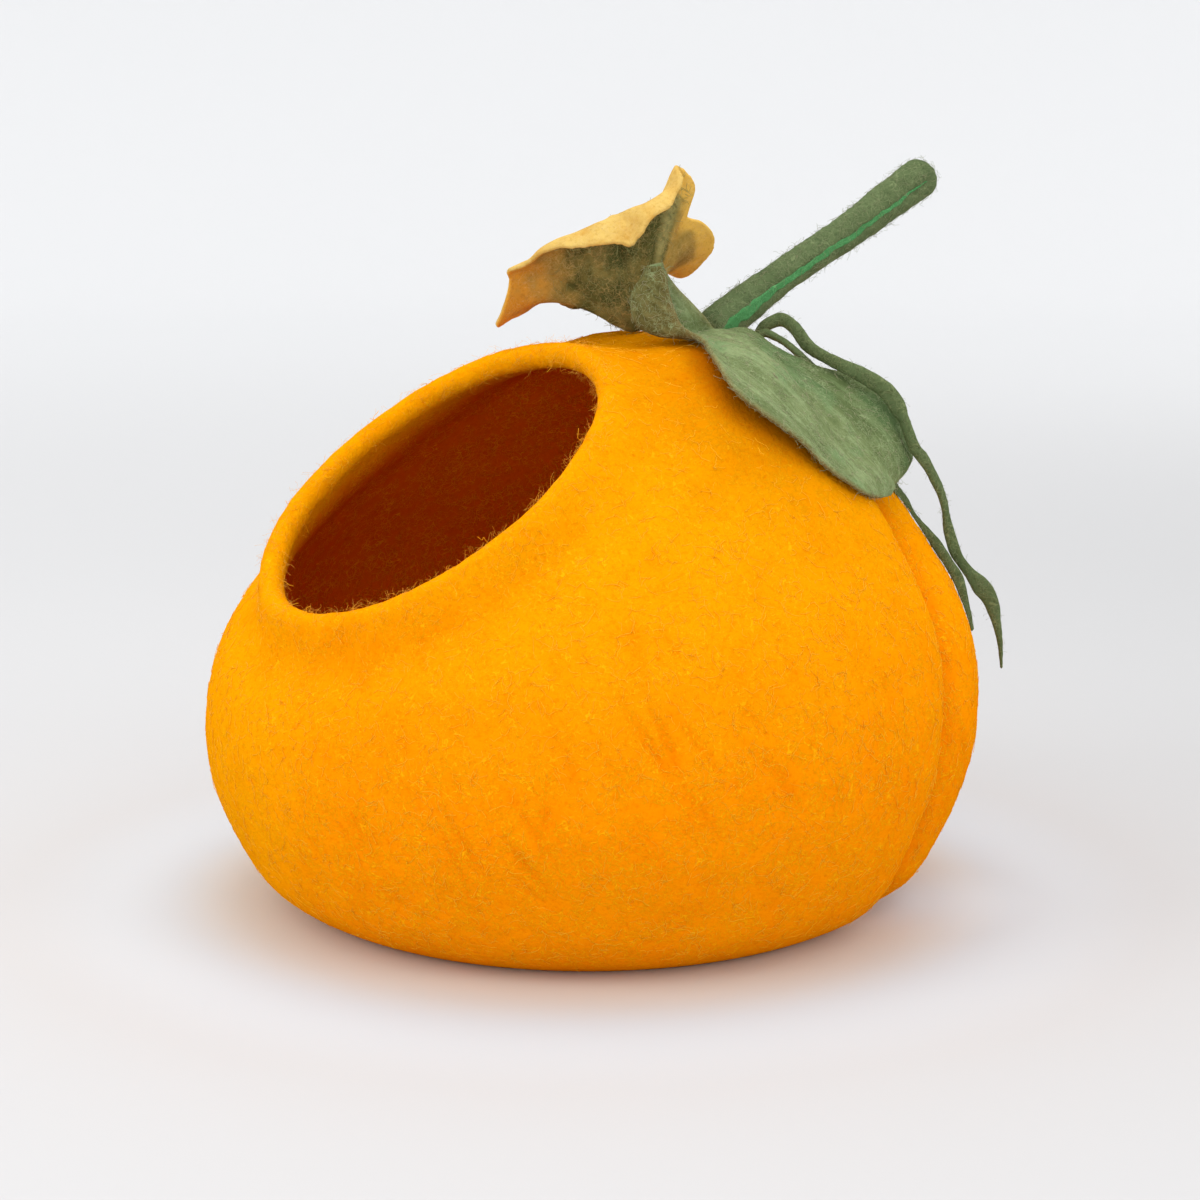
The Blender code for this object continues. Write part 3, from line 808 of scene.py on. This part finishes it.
def buildRoll(name, surface, material):
    roll = rolls[name]
    columns, gap = roll["round"], rollMaking["gap"] * mm
    turn = (np.arange(columns) / columns * 2 - 1) * math.pi
    even = np.linspace(0, 1, roll["rings"])
    along = even + rollMaking["endCrowding"] * ((1 - np.cos(even * math.pi)) / 2 - even)
    grid = rollPoints(roll, *np.meshgrid(along[1:-1], turn, indexing="ij"))
    tips = rollPoints(roll, np.array((0.0, 1.0)), np.zeros(2))
    normals = gridNormals(grid, True)
    if ((grid - grid.mean(axis=1, keepdims=True)) * normals).sum(axis=-1).mean() < 0:
        normals = -normals
    lumps = [(height, size, roll["seed"] + more) for height, size, more in rollMaking["lumps"]]
    lumps = unevenness(grid, lumps)
    grid = lifted(grid + normals * (lumps * roll["lumps"] * mm)[..., None], surface, gap)
    points = np.concatenate([grid.reshape(-1, 3), lifted(tips, surface, gap)])
    return makePiece(name, points, closedFaces(len(grid), columns), material)


brightLine = {
    "rows": (  # share of the stem, turn round it, width, height
        (0.03, 4, 7.5, 1.6), (0.10, 4, 7.8, 2.2), (0.18, 0, 6.4, 2.2), (0.26, 3, 5.0, 2.0),
        (0.36, -3, 4.4, 1.7), (0.46, 2, 4.2, 1.6), (0.56, -2, 3.6, 1.5), (0.66, 3, 3.2, 1.4),
        (0.76, 0, 2.6, 1.3), (0.86, 4, 1.6, 1.1), (0.92, 2, 0.8, 0.7),
    ),
    "rings": 260,
    "round": 12,
    "groove": 1.1,
    "sunk": 0.2,
    "plump": 0.55,
    "frayed": ((0.35, 4, 21),),  # height, size, seed
    "wanders": ((0.08, 6, 22),),
    "stemLength": 190.0,
    "blunt": 22,
}


def buildBrightLine(material):
    share = np.linspace(0, 1, brightLine["rings"])
    first, last = brightLine["rows"][0][0], brightLine["rows"][-1][0]
    along = first + (last - first) * share
    turnRow, width, height = smoothRows(brightLine["rows"], along).T
    roll = dict(rolls["feltStem"], groove=brightLine["groove"])
    radius = smoothRows(roll["sections"], along)[:, 3] / 2
    line = np.stack([along * brightLine["stemLength"] * mm, along * 0, along * 0], axis=1)
    width = width * (1 + unevenness(line, brightLine["frayed"]))
    width = width * np.sqrt(np.clip(share * brightLine["blunt"], 0, 1))
    sway = np.radians(turnRow) + unevenness(line, brightLine["wanders"])
    columns = brightLine["round"]
    grid = []
    for turn in np.arange(columns) / columns * 2 * math.pi:
        proud = height * brightLine["plump"] * math.sin(turn) - brightLine["sunk"]
        grid.append(rollPoints(roll, along, sway + width / 2 * math.cos(turn) / radius, proud))
    grid = np.stack(grid, axis=1)
    points = np.concatenate([grid.reshape(-1, 3), grid[[0, -1]].mean(axis=1)])
    return makePiece("brightWool", points, closedFaces(len(grid), columns), material)


blossom = {
    "felt": 3.0,
    "gap": 1.3,
    "length": 110.0,
    "base": (-24, 53, 334),
    "axis": (-0.348, -0.194, 0.917),
    "front": (0.822, -0.534, 0.199),
    "foot": 6.0,
    "spread": 0.45,
    "rows": 90,
    "columns": 260,
    "cutRound": 60.0,
    "scallops": ((0.016, 14, 31), (0.010, 5, 32), (0.007, 2, 35)),  # share of the length, size, seed
    "ripples": ((0.9, 20, 33), (0.4, 7, 34)),  # height, size, seed
    "rib": 66,  # angle round the axis, and half-width, of the pale rib
    "ribWidth": 2.6,
    "ribEnds": 0.78,
    "goldSpan": 52.0,
    "goldPatches": ((0.22, 12, 37),),
    "goldPastRib": 0.46,
    "borderFrom": 44,
    "borderEdge": ((0.07, 8, 36),),
    "petals": (  # angle round the axis, rim's way out, rim's way along, how far the felt aims before it turns
        (-129, 57, 48, 50), (-106, 67, 37, 52), (-98, 75, 35, 54), (-90, 80, 34, 55), (-83, 71, 44, 58),
        (-77, 65, 54, 62), (-71, 66, 59, 66), (-62, 60, 59, 72), (-52, 54, 61, 80), (-38, 47, 60, 85),
        (-22, 45, 55, 90), (-6, 47, 52, 94), (6, 47, 49.4, 98), (14, 45, 46.4, 104), (20, 45, 48, 102),
        (30, 55, 55, 95), (40, 61, 58, 90), (48, 62, 64, 84), (55, 66, 73, 70), (61, 62, 82, 60),
        (68, 65, 76, 48), (74, 63, 69, 44), (81, 54, 59, 44), (87, 52, 55, 44), (95, 60, 49, 44),
        (103, 65, 40, 45), (112, 64, 32, 46), (122, 59, 27, 46), (134, 54, 25, 46), (155, 57, 42, 45),
        (180, 60, 47, 50), (208, 62, 31, 60), (231, 57, 48, 50),
    ),
}


def blossomPoints(turn, share):
    first = blossom["petals"][0][0]
    row = smoothRows(blossom["petals"], (turn - first) % 360 + first) * mm
    out, along, rise = np.moveaxis(row, -1, 0)[..., None]
    axis = unit(np.array(blossom["axis"]))
    front = np.array(blossom["front"])
    side = unit(front - axis * (front @ axis))
    other = np.cross(axis, side)
    angle = np.radians(turn)[..., None]
    sideways = side * np.cos(angle) + other * np.sin(angle)
    share = share[..., None]
    foot = sideways * blossom["foot"] * mm * np.sqrt(np.clip(share / 0.1, 0, 1)) * (1 - share)
    fold = axis * rise + sideways * out * blossom["spread"]
    rim = axis * along + sideways * out
    return np.array(blossom["base"]) * mm + foot + fold * 2 * share * (1 - share) + rim * share**2


def blossomValues(mid, shares, turns):  # where the petals are golden, bordered and ribbed
    around = (turns + 180) % 360 - 180
    pastRib = around - blossom["rib"]
    rib = np.exp(-((pastRib / blossom["ribWidth"]) ** 2)) * ease((shares - 0.25) / 0.2)
    rib = rib * (1 - ease((shares - blossom["ribEnds"]) / 0.1))
    leftwards = mid @ np.array(leftWay) / mm
    golden = np.clip((leftwards + 1) / blossom["goldSpan"] + unevenness(mid, blossom["goldPatches"]), 0, 1)
    golden = np.maximum(golden, ease((np.abs(around - 180) - 60) / -20) * ease((shares - 0.5) / 0.3))
    golden = np.maximum(golden, blossom["goldPastRib"] * ease(pastRib / 8))
    border = ease((around - blossom["borderFrom"]) / 10)
    border = border * ease((shares - 0.76 + unevenness(mid, blossom["borderEdge"])) / 0.12)
    return {"outwards": shares, "golden": golden, "border": border, "rib": rib}


def buildBlossom(surface, material):
    half = blossom["felt"] / 2 * mm
    rows, columns = blossom["rows"] + len(edgeShares), blossom["columns"]
    turn = np.arange(columns) * 360 / columns
    thin = half / (blossom["length"] * mm)
    share = np.concatenate([np.linspace(0.012, 1 - thin, blossom["rows"]), 1 - (edgeShares * thin)[::-1]])
    shares, turns = np.meshgrid(share, turn, indexing="ij")
    ringed = np.stack([np.cos(np.radians(turn)), np.sin(np.radians(turn)), turn * 0], axis=1)
    shares = shares * (1 + unevenness(ringed * blossom["cutRound"] * mm, blossom["scallops"]))
    mid = blossomPoints(turns, shares)
    ripple = unevenness(mid, blossom["ripples"]) * shares * mm
    mid = lifted(mid + gridNormals(mid, True) * ripple[..., None], surface, blossom["gap"] * mm + half)
    offset = gridNormals(mid, True) * halfThickness(mid, half, True)[..., None]
    outer, inner = mid - offset, mid + offset
    above = np.array(blossom["base"]) * mm + unit(np.array(blossom["axis"])) * 0.2
    if np.linalg.norm(inner[20] - above, axis=1).mean() > np.linalg.norm(outer[20] - above, axis=1).mean():
        outer, inner = inner, outer
    index = np.arange(rows * columns).reshape(rows, columns)
    under = index + rows * columns
    under[-1] = index[-1]
    faces = np.array(gridFaces(rows, columns, True))
    faces = np.concatenate([faces, under.ravel()[faces][:, ::-1]]).tolist()
    faces += fanFaces(index[0].tolist(), index.size * 2)
    faces += fanFaces(under[0].tolist(), index.size * 2 + 1)
    tips = np.array([inner[0].mean(axis=0), outer[0].mean(axis=0)])
    points = np.concatenate([inner.reshape(-1, 3), outer.reshape(-1, 3), tips])
    values = {key: np.append(np.tile(value.ravel(), 2), (0, 0))
              for key, value in blossomValues(mid, shares, turns).items()}
    values["side"] = np.append(np.repeat((1, 0), index.size), (1, 0))
    return trimmedPiece("feltBlossom", points, faces, values, material)


woolInputs = (
    ("Geometry", "Geometry"), ("Density", "Float"), ("Shortest", "Float"), ("Longest", "Float"),
    ("Radius", "Float"), ("Lift", "Float"), ("Curl", "Float"), ("Curl Scale", "Float"), ("Flatness", "Float"),
    ("Seed", "Int"), ("Weight", "String"), ("Wool", "Material"),
)
strandForm = {"points": 7, "sides": 3, "taper": 0.6}


def looseWoolTree():  # scattered strands, laid along the felt and bent by noise, as thin tapered tubes
    tree = bpy.data.node_groups.new("looseWool", "GeometryNodeTree")
    for name, kind in woolInputs:
        tree.interface.new_socket(name, in_out="INPUT", socket_type="NodeSocket" + kind)
    tree.interface.new_socket("Geometry", in_out="OUTPUT", socket_type="NodeSocketGeometry")
    nodes = Nodes(tree)
    given = nodes.add("NodeGroupInput").outputs
    weight = nodes.add("GeometryNodeInputNamedAttribute", {"data_type": "FLOAT"}, Name=given["Weight"])
    density = nodes.times(given["Density"], weight.outputs["Attribute"])
    spread = nodes.add("GeometryNodeDistributePointsOnFaces", {"distribute_method": "RANDOM"},
                       Mesh=given["Geometry"], Density=density, Seed=given["Seed"])
    anyWay = nodes.add("FunctionNodeRandomValue", {"data_type": "FLOAT_VECTOR"},
                       Min=(-1, -1, -1), Max=(1, 1, 1), Seed=given["Seed"])
    normal = spread.outputs["Normal"]
    level = nodes.vector("NORMALIZE", nodes.vector("CROSS_PRODUCT", anyWay.outputs[0], normal))
    way = nodes.vector("ADD", level, nodes.vector("SCALE", normal, given["Lift"]))
    turned = nodes.add("FunctionNodeAlignRotationToVector", {"axis": "Z"}, Vector=way)
    length = nodes.add("FunctionNodeRandomValue", {"data_type": "FLOAT"}, Seed=nodes.plus(given["Seed"], 5))
    nodes.join(length.inputs[2], given["Shortest"])
    nodes.join(length.inputs[3], given["Longest"])
    line = nodes.add("GeometryNodeCurvePrimitiveLine", Start=(0, 0, 0), End=(0, 0, 1))
    strand = nodes.add("GeometryNodeResampleCurve", Curve=line, Count=strandForm["points"])
    rooted = nodes.add("GeometryNodeStoreNamedAttribute", {"data_type": "FLOAT_VECTOR", "domain": "POINT"},
                       Geometry=spread.outputs["Points"], Name="away", Value=normal)
    placed = nodes.add("GeometryNodeInstanceOnPoints", Points=rooted, Instance=strand,
                       Rotation=turned, Scale=length.outputs[1])
    loose = nodes.add("GeometryNodeRealizeInstances", Geometry=placed)
    along = nodes.add("GeometryNodeSplineParameter").outputs["Factor"]
    where = nodes.add("GeometryNodeInputPosition")
    bend = nodes.add("ShaderNodeTexNoise", Vector=where, Scale=given["Curl Scale"], Detail=1.0)
    sway = nodes.vector("SUBTRACT", bend.outputs["Color"], (0.5, 0.5, 0.5))
    away = nodes.add("GeometryNodeInputNamedAttribute", {"data_type": "FLOAT_VECTOR"}, Name="away")
    away = away.outputs["Attribute"]
    rise = nodes.times(nodes.vector("DOT_PRODUCT", sway, away), given["Flatness"])
    sway = nodes.vector("SUBTRACT", sway, nodes.vector("SCALE", away, rise))
    bending = nodes.vector("SCALE", sway, nodes.times(given["Curl"], along))
    bent = nodes.add("GeometryNodeSetPosition", Geometry=loose, Offset=bending)
    thickness = nodes.minus(1.0, nodes.times(along, strandForm["taper"]))
    taper = nodes.add("GeometryNodeSetCurveRadius", Curve=bent, Radius=thickness)
    profile = nodes.add("GeometryNodeCurvePrimitiveCircle", Radius=given["Radius"],
                        Resolution=strandForm["sides"])
    body = nodes.add("GeometryNodeCurveToMesh", Curve=taper, Profile_Curve=profile, Fill_Caps=True)
    made = nodes.add("GeometryNodeRealizeInstances", Geometry=body)
    painted = nodes.add("GeometryNodeSetMaterial", Geometry=made, Material=given["Wool"])
    nodes.add("NodeGroupOutput", Geometry=painted)
    return tree


def growWool(name, source, tree, values):
    carrier = linked(name + "Carrier", source.data.copy())
    modifier = carrier.modifiers.new("Loose wool", "NODES")
    modifier.node_group = tree
    for item in tree.interface.items_tree:
        if item.in_out == "INPUT" and item.name in values:
            modifier[item.identifier] = values[item.name]
    bpy.context.view_layer.update()
    graph = bpy.context.evaluated_depsgraph_get()
    mesh = bpy.data.meshes.new_from_object(carrier.evaluated_get(graph))
    mesh.name = name
    bpy.data.objects.remove(carrier)
    if not mesh.materials:
        mesh.materials.append(values["Wool"])
    mesh.shade_smooth()
    piece = linked(name, mesh)
    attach(piece, "root")
    say(f"{name}: {len(mesh.polygons)} faces")


greenWool = {"blotch": 0.6, "blotchScale": 50.0, "grain": 0.6, "grainScale": 420.0, "fibre": 0.6,
             "fibreScale": 190.0, "pit": 0.6, "bump": 0.7, "bumpDepth": 0.7, "sheen": 0.08, "shine": 0.06}
looks = {  # deep is multiplied into the felt's own colour, pale is the colour of single hairs
    "orangeFelt": {"base": (0.84, 0.315, 0.0008), "pale": (0.90, 0.41, 0.004), "deep": (0.90, 0.76, 0.6),
                   "blotch": 0.42, "blotchScale": 38.0, "grain": 0.66, "grainScale": 330.0, "fibre": 0.75,
                   "fibreScale": 165.0, "pit": 0.65, "bump": 0.75, "bumpDepth": 0.8, "sheen": 0.0,
                   "shine": 0.0},
    "tendrilFelt": dict(greenWool, base=(0.105, 0.145, 0.06), pale=(0.24, 0.27, 0.12), deep=(0.55, 0.5, 0.4)),
    "greenFelt": dict(greenWool, base=(0.108, 0.148, 0.062), pale=(0.23, 0.28, 0.13), deep=(0.5, 0.55, 0.5),
                      blotchScale=60.0, fibre=0.65, bumpDepth=0.8),
    "leafFelt": dict(greenWool, base=(0.17, 0.212, 0.086), pale=(0.31, 0.38, 0.19), deep=(0.62, 0.68, 0.6),
                     blotch=0.55, blotchScale=38.0, grain=0.55, fibre=0.55, pit=0.5, bump=0.6),
    "petalFelt": dict(greenWool, base=(0.66, 0.45, 0.125), pale=(0.72, 0.5, 0.2), deep=(0.72, 0.6, 0.4),
                      blotch=0.4, grain=0.5, fibre=0.35, pit=0.5, bump=0.6, bumpDepth=0.6, sheen=0.06),
    "brightWool": dict(greenWool, base=(0.07, 0.235, 0.08), pale=(0.15, 0.42, 0.16), deep=(0.5, 0.6, 0.5),
                       blotchScale=70.0, grain=0.5, grainScale=500.0, fibre=0.7, fibreScale=220.0, pit=0.3,
                       bump=0.6, bumpDepth=0.6, sheen=0.1, shine=0.08),
}
strandTones = {  # the two colours that loose wool drifts between
    "orangeStrand": ((0.90, 0.40, 0.006), (0.90, 0.44, 0.012)),
    "rimStrand": ((0.86, 0.40, 0.02), (0.86, 0.44, 0.06)),
    "greenStrand": ((0.21, 0.25, 0.12), (0.28, 0.28, 0.15)),
    "leafStrand": ((0.30, 0.34, 0.17), (0.36, 0.33, 0.2)),
    "petalStrand": ((0.24, 0.235, 0.085), (0.33, 0.31, 0.12)),
}
leftWay = (-0.545, -0.839, 0.0)  # towards the left of the side that shows
shellTones = {
    # painted light: redder, less yellow felt low down
    "low": (0.89, 0.258, 0.0008),
    "lowFades": (0.08, 0.28),
    # painted light: yellower felt towards the left
    "left": (0.85, 0.33, 0.0008),
    "leftShows": (0.12, 0.215),
    "leftShare": 0.85,
    "pastFurrowShade": (0.80, 0.205, 0.0008),  # painted shade on a furrow's far side, with distances from its bottom
    "pastStarts": (-0.5, 1.5),
    "pastEnds": (6.0, 20.0),
    "pastShare": 0.75,
    "ridgeHighlight": (0.93, 0.44, 0.014),  # painted highlight: a faint fuzzy line on a furrow's other side
    "ridgePlace": 22.0,
    "ridgeWander": 4.0,
    "ridgeShows": (0.5, 8.0),
    "ridgeShare": 0.17,
    # painted shade in creases and the lip trough
    "creaseShade": (0.93, 0.76, 0.6),
    "creaseShadeShare": 0.6,
    # painted shade of the felt inside the mouth
    "inside": (0.70, 0.130, 0.001),
    # painted shadow under the leaf's near edge
    "leafShadowTone": (0.32, 0.15, 0.5),
}
petalTones = {
    "foot": (0.075, 0.08, 0.022),
    "olive": (0.19, 0.165, 0.05),
    "turning": (0.38, 0.245, 0.058),
    "golden": (0.70, 0.33, 0.038),
    "border": (0.76, 0.46, 0.085),
    "rib": (0.40, 0.35, 0.13),
    "ribShare": 0.85,
    "cutEdge": (0.075, 0.05, 0.012),
    "insideDeep": (0.58, 0.33, 0.065),
}
leafTones = {
    "streakPale": (0.237, 0.298, 0.136),
    "streakDark": (0.11, 0.15, 0.055),
    "mint": (0.155, 0.26, 0.11),
    # painted shade on the far half of the blade
    "farSideShade": (0.52, 0.58, 0.5),
    "farShadeShare": 0.85,
    # painted shade and painted orange bounce light on the underside
    "underShadeDark": (0.09, 0.078, 0.023),
    "underShadePale": (0.16, 0.142, 0.05),
    "cutEdge": (0.22, 0.155, 0.06),
    "cutShare": 0.6,
    "way": (91.0, 63.0, -72.0),  # along the blade, for the streaks
    "broadStreaks": (0.07, 0.011, 0.02),
    "fineStreaks": (0.02, 0.0014, 0.003),
}


def shellPaint(nodes, where):  # painted light and shade: the felt deeper inside the mouth and past a furrow, a pale line beside a furrow, darker in creases and the lip trough, redder low down and yellower to the left
    names = ("inner", "beyond", "furrow", "crease")
    inner, beyond, furrow, crease = (nodes.attribute(name) for name in names)
    look = shellTones
    # painted light: redder, less yellow low down
    height = nodes.add("ShaderNodeSeparateXYZ", Vector=where).outputs["Z"]
    colour = nodes.mix(nodes.range(height, *look["lowFades"]), look["low"], looks["orangeFelt"]["base"])
    # painted light: yellower towards the left
    leftwards = nodes.vector("DOT_PRODUCT", where, leftWay)
    left = nodes.range(leftwards, *look["leftShows"], 0.0, look["leftShare"])
    colour = nodes.mix(left, colour, look["left"])
    # painted shade past a furrow
    past = nodes.times(nodes.range(beyond, *look["pastStarts"]),
                       nodes.range(beyond, *look["pastEnds"], look["pastShare"], 0.0))
    colour = nodes.mix(nodes.times(past, furrow), colour, look["pastFurrowShade"])
    # painted highlight: a pale line along a furrow's other side
    unsure = nodes.times(nodes.minus(nodes.noise(where, 300.0, 3.0), 0.5), look["ridgeWander"])
    fromRidge = nodes.math("ABSOLUTE", nodes.plus(nodes.plus(beyond, unsure), look["ridgePlace"]))
    ridgeHighlight = nodes.range(fromRidge, *look["ridgeShows"], look["ridgeShare"], 0.0)
    colour = nodes.mix(nodes.times(ridgeHighlight, furrow), colour, look["ridgeHighlight"])
    # painted shade in creases and the lip trough
    colour = nodes.mix(nodes.times(crease, look["creaseShadeShare"], True), colour, look["creaseShade"], "MULTIPLY")
    # painted shade inside the mouth
    return nodes.mix(inner, colour, look["inside"])


def petalPaint(nodes, where):  # olive outside, golden towards the left petals and on a border, yellow inside
    names = ("side", "outwards", "golden", "border", "rib")
    side, outwards, golden, border, rib = (nodes.attribute(name) for name in names)
    look = petalTones
    drift = nodes.noise(where, 60.0, 4.0, 0.6)
    outside = nodes.mix(nodes.range(drift, 0.38, 0.64), look["foot"], look["olive"])
    turning = nodes.plus(golden, nodes.times(nodes.minus(drift, 0.5), 0.9))
    outside = nodes.mix(nodes.range(turning, 0.02, 0.5), outside, look["turning"])
    outside = nodes.mix(nodes.range(turning, 0.4, 0.95), outside, look["golden"])
    outside = nodes.mix(border, outside, look["border"])
    outside = nodes.mix(nodes.times(rib, look["ribShare"]), outside, look["rib"])
    cut = nodes.times(nodes.range(outwards, 0.962, 0.985), nodes.range(golden, 0.0, 0.3, 0.8, 0.0))
    cut = nodes.times(cut, nodes.range(border, 0.0, 0.3, 1.0, 0.0))
    outside = nodes.mix(cut, outside, look["cutEdge"])
    inside = nodes.mix(nodes.range(drift, 0.4, 0.7), looks["petalFelt"]["base"], look["insideDeep"])
    return nodes.mix(nodes.range(side, 0.3, 0.6), outside, inside)


def alongLeaf(nodes, where, wavelengths):  # coordinates that run along the blade
    way = unit(np.array(leafTones["way"]))
    over = unit(np.cross(way, (0.0, 0.0, 1.0)))
    turn = Matrix((way, over, np.cross(way, over))).transposed().to_euler()
    return nodes.add("ShaderNodeMapping", {"vector_type": "TEXTURE"}, Vector=where, Rotation=turn,
                     Scale=wavelengths).outputs[0]


def leafPaint(nodes, where):  # paler and mint streaks along the blade, painted shade on its far half, an underside painted darker and browner as shade and orange bounce light, and a browner cut edge
    side, border, far = (nodes.attribute(name) for name in ("side", "border", "far"))
    look = leafTones
    broad = nodes.noise(alongLeaf(nodes, where, look["broadStreaks"]), 1.0, 4.0, 0.6)
    fine = nodes.noise(alongLeaf(nodes, where, look["fineStreaks"]), 1.0, 3.0, 0.6)
    streak = nodes.plus(nodes.times(broad, 0.6), nodes.times(fine, 0.4))
    blade = nodes.mix(nodes.range(streak, 0.48, 0.60), looks["leafFelt"]["base"], look["streakPale"])
    blade = nodes.mix(nodes.range(streak, 0.40, 0.49, 0.55, 0.0), blade, look["streakDark"])
    blade = nodes.mix(nodes.range(nodes.noise(where, 30.0), 0.54, 0.66, 0.0, 0.5), blade, look["mint"])
    # painted shade on the far half of the blade
    blade = nodes.mix(nodes.times(far, look["farShadeShare"]), blade, look["farSideShade"], "MULTIPLY")
    # painted shade and painted orange bounce light on the underside
    under = nodes.mix(nodes.range(streak, 0.42, 0.58), look["underShadeDark"], look["underShadePale"])
    colour = nodes.mix(nodes.range(side, 0.3, 0.6), blade, under)
    return nodes.mix(nodes.times(border, look["cutShare"]), colour, look["cutEdge"])


def strandMaterial(name):
    material, nodes, shader, where = newMaterial(name, 0.8, 0.2)
    colour = nodes.mix(nodes.range(nodes.noise(where, 260.0), 0.4, 0.65), *strandTones[name])
    nodes.join(shader.inputs["Base Color"], colour)
    return material


say("camera and stage")
placeCamera()
buildPaper()
lightStage()
# the shell's felt carries a painted shadow under the leaf
paints = {"orangeFelt": (shellPaint, ("paintedLeafShadow", shellTones["leafShadowTone"])), "leafFelt": (leafPaint,),
          "petalFelt": (petalPaint,)}
materials = {name: feltShader(name, *paints.get(name, ())) for name in looks}
materials.update({name: strandMaterial(name) for name in strandTones})

say("shell")
feltShell, shellSurface = buildShell(materials["orangeFelt"])
say("leaf")
feltLeaf = buildLeaf(shellSurface, materials["leafFelt"])
say("stem and tendrils")
feltStem = buildRoll("feltStem", shellSurface, materials["greenFelt"])
tendrilLong = buildRoll("tendrilLong", shellSurface, materials["tendrilFelt"])
tendrilBack = buildRoll("tendrilBack", shellSurface, materials["tendrilFelt"])
brightWool = buildBrightLine(materials["brightWool"])
say("blossom")
feltBlossom = buildBlossom(shellSurface, materials["petalFelt"])

standIns = (
    (feltShell, "cave_shell", "orange_felt"), (feltLeaf, "leaf", "leaf_felt"),
    (feltStem, "stem", "green_felt"), (tendrilLong, "tendril_long", "green_felt"),
    (tendrilBack, "tendril_back", "green_felt"), (feltBlossom, "blossom", "petal_felt"),
)
for piece, node, slot in standIns:
    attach(piece, "root")
    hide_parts(node)
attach(brightWool, "root")

say("loose wool")
woolTree = looseWoolTree()
for piece in (feltLeaf, feltStem, tendrilLong, tendrilBack):
    pointAttribute(piece, "everywhere", np.ones(len(piece.data.vertices)))
inwards, golden = np.zeros((2, len(feltBlossom.data.vertices)), np.float32)
feltBlossom.data.attributes["side"].data.foreach_get("value", inwards)
feltBlossom.data.attributes["golden"].data.foreach_get("value", golden)
pointAttribute(feltBlossom, "underneath", (1 - inwards) * np.clip(1 - 2.5 * golden, 0, 1))
woolRows = (  # name, source, weight, density, lengths, radius, lift, curl, its scale, flatness, seed, look
    ("bodyWoolA", feltShell, "showing", 15000, 4, 11, 0.16, 0.02, 18, 210, 0.97, 3, "orangeStrand"),
    ("bodyWoolB", feltShell, "showing", 15000, 3, 8, 0.12, 0.02, 16, 260, 0.97, 4, "orangeStrand"),
    ("rimWool", feltShell, "rim", 170000, 3, 8, 0.055, 0.5, 12, 160, 0.35, 7, "rimStrand"),
    ("leafWool", feltLeaf, "everywhere", 50000, 3, 8, 0.09, 0.03, 12, 240, 0.93, 11, "leafStrand"),
    ("leafFringe", feltLeaf, "border", 200000, 2, 6, 0.045, 0.3, 8, 240, 0.5, 12, "leafStrand"),
    ("stemWool", feltStem, "everywhere", 60000, 4, 9, 0.08, 0.12, 14, 240, 0.75, 13, "greenStrand"),
    ("tendrilWoolA", tendrilLong, "everywhere", 60000, 2, 5, 0.07, 0.12, 8, 260, 0.8, 14, "greenStrand"),
    ("tendrilWoolB", tendrilBack, "everywhere", 60000, 2, 5, 0.07, 0.12, 8, 260, 0.8, 15, "greenStrand"),
    ("blossomWool", feltBlossom, "underneath", 80000, 4, 9, 0.10, 0.03, 14, 240, 0.94, 17, "petalStrand"),
)
for row in woolRows:
    name, source, weight, density, shortest, longest, radius, lift, curl, scale, flatness, seed, look = row
    values = {"Density": float(density), "Shortest": shortest * mm, "Longest": longest * mm,
              "Radius": radius * mm, "Lift": float(lift), "Curl": curl * mm, "Curl Scale": float(scale),
              "Flatness": flatness, "Seed": seed, "Weight": weight, "Wool": materials[look]}
    growWool(name, source, woolTree, values)

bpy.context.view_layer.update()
say("finished")
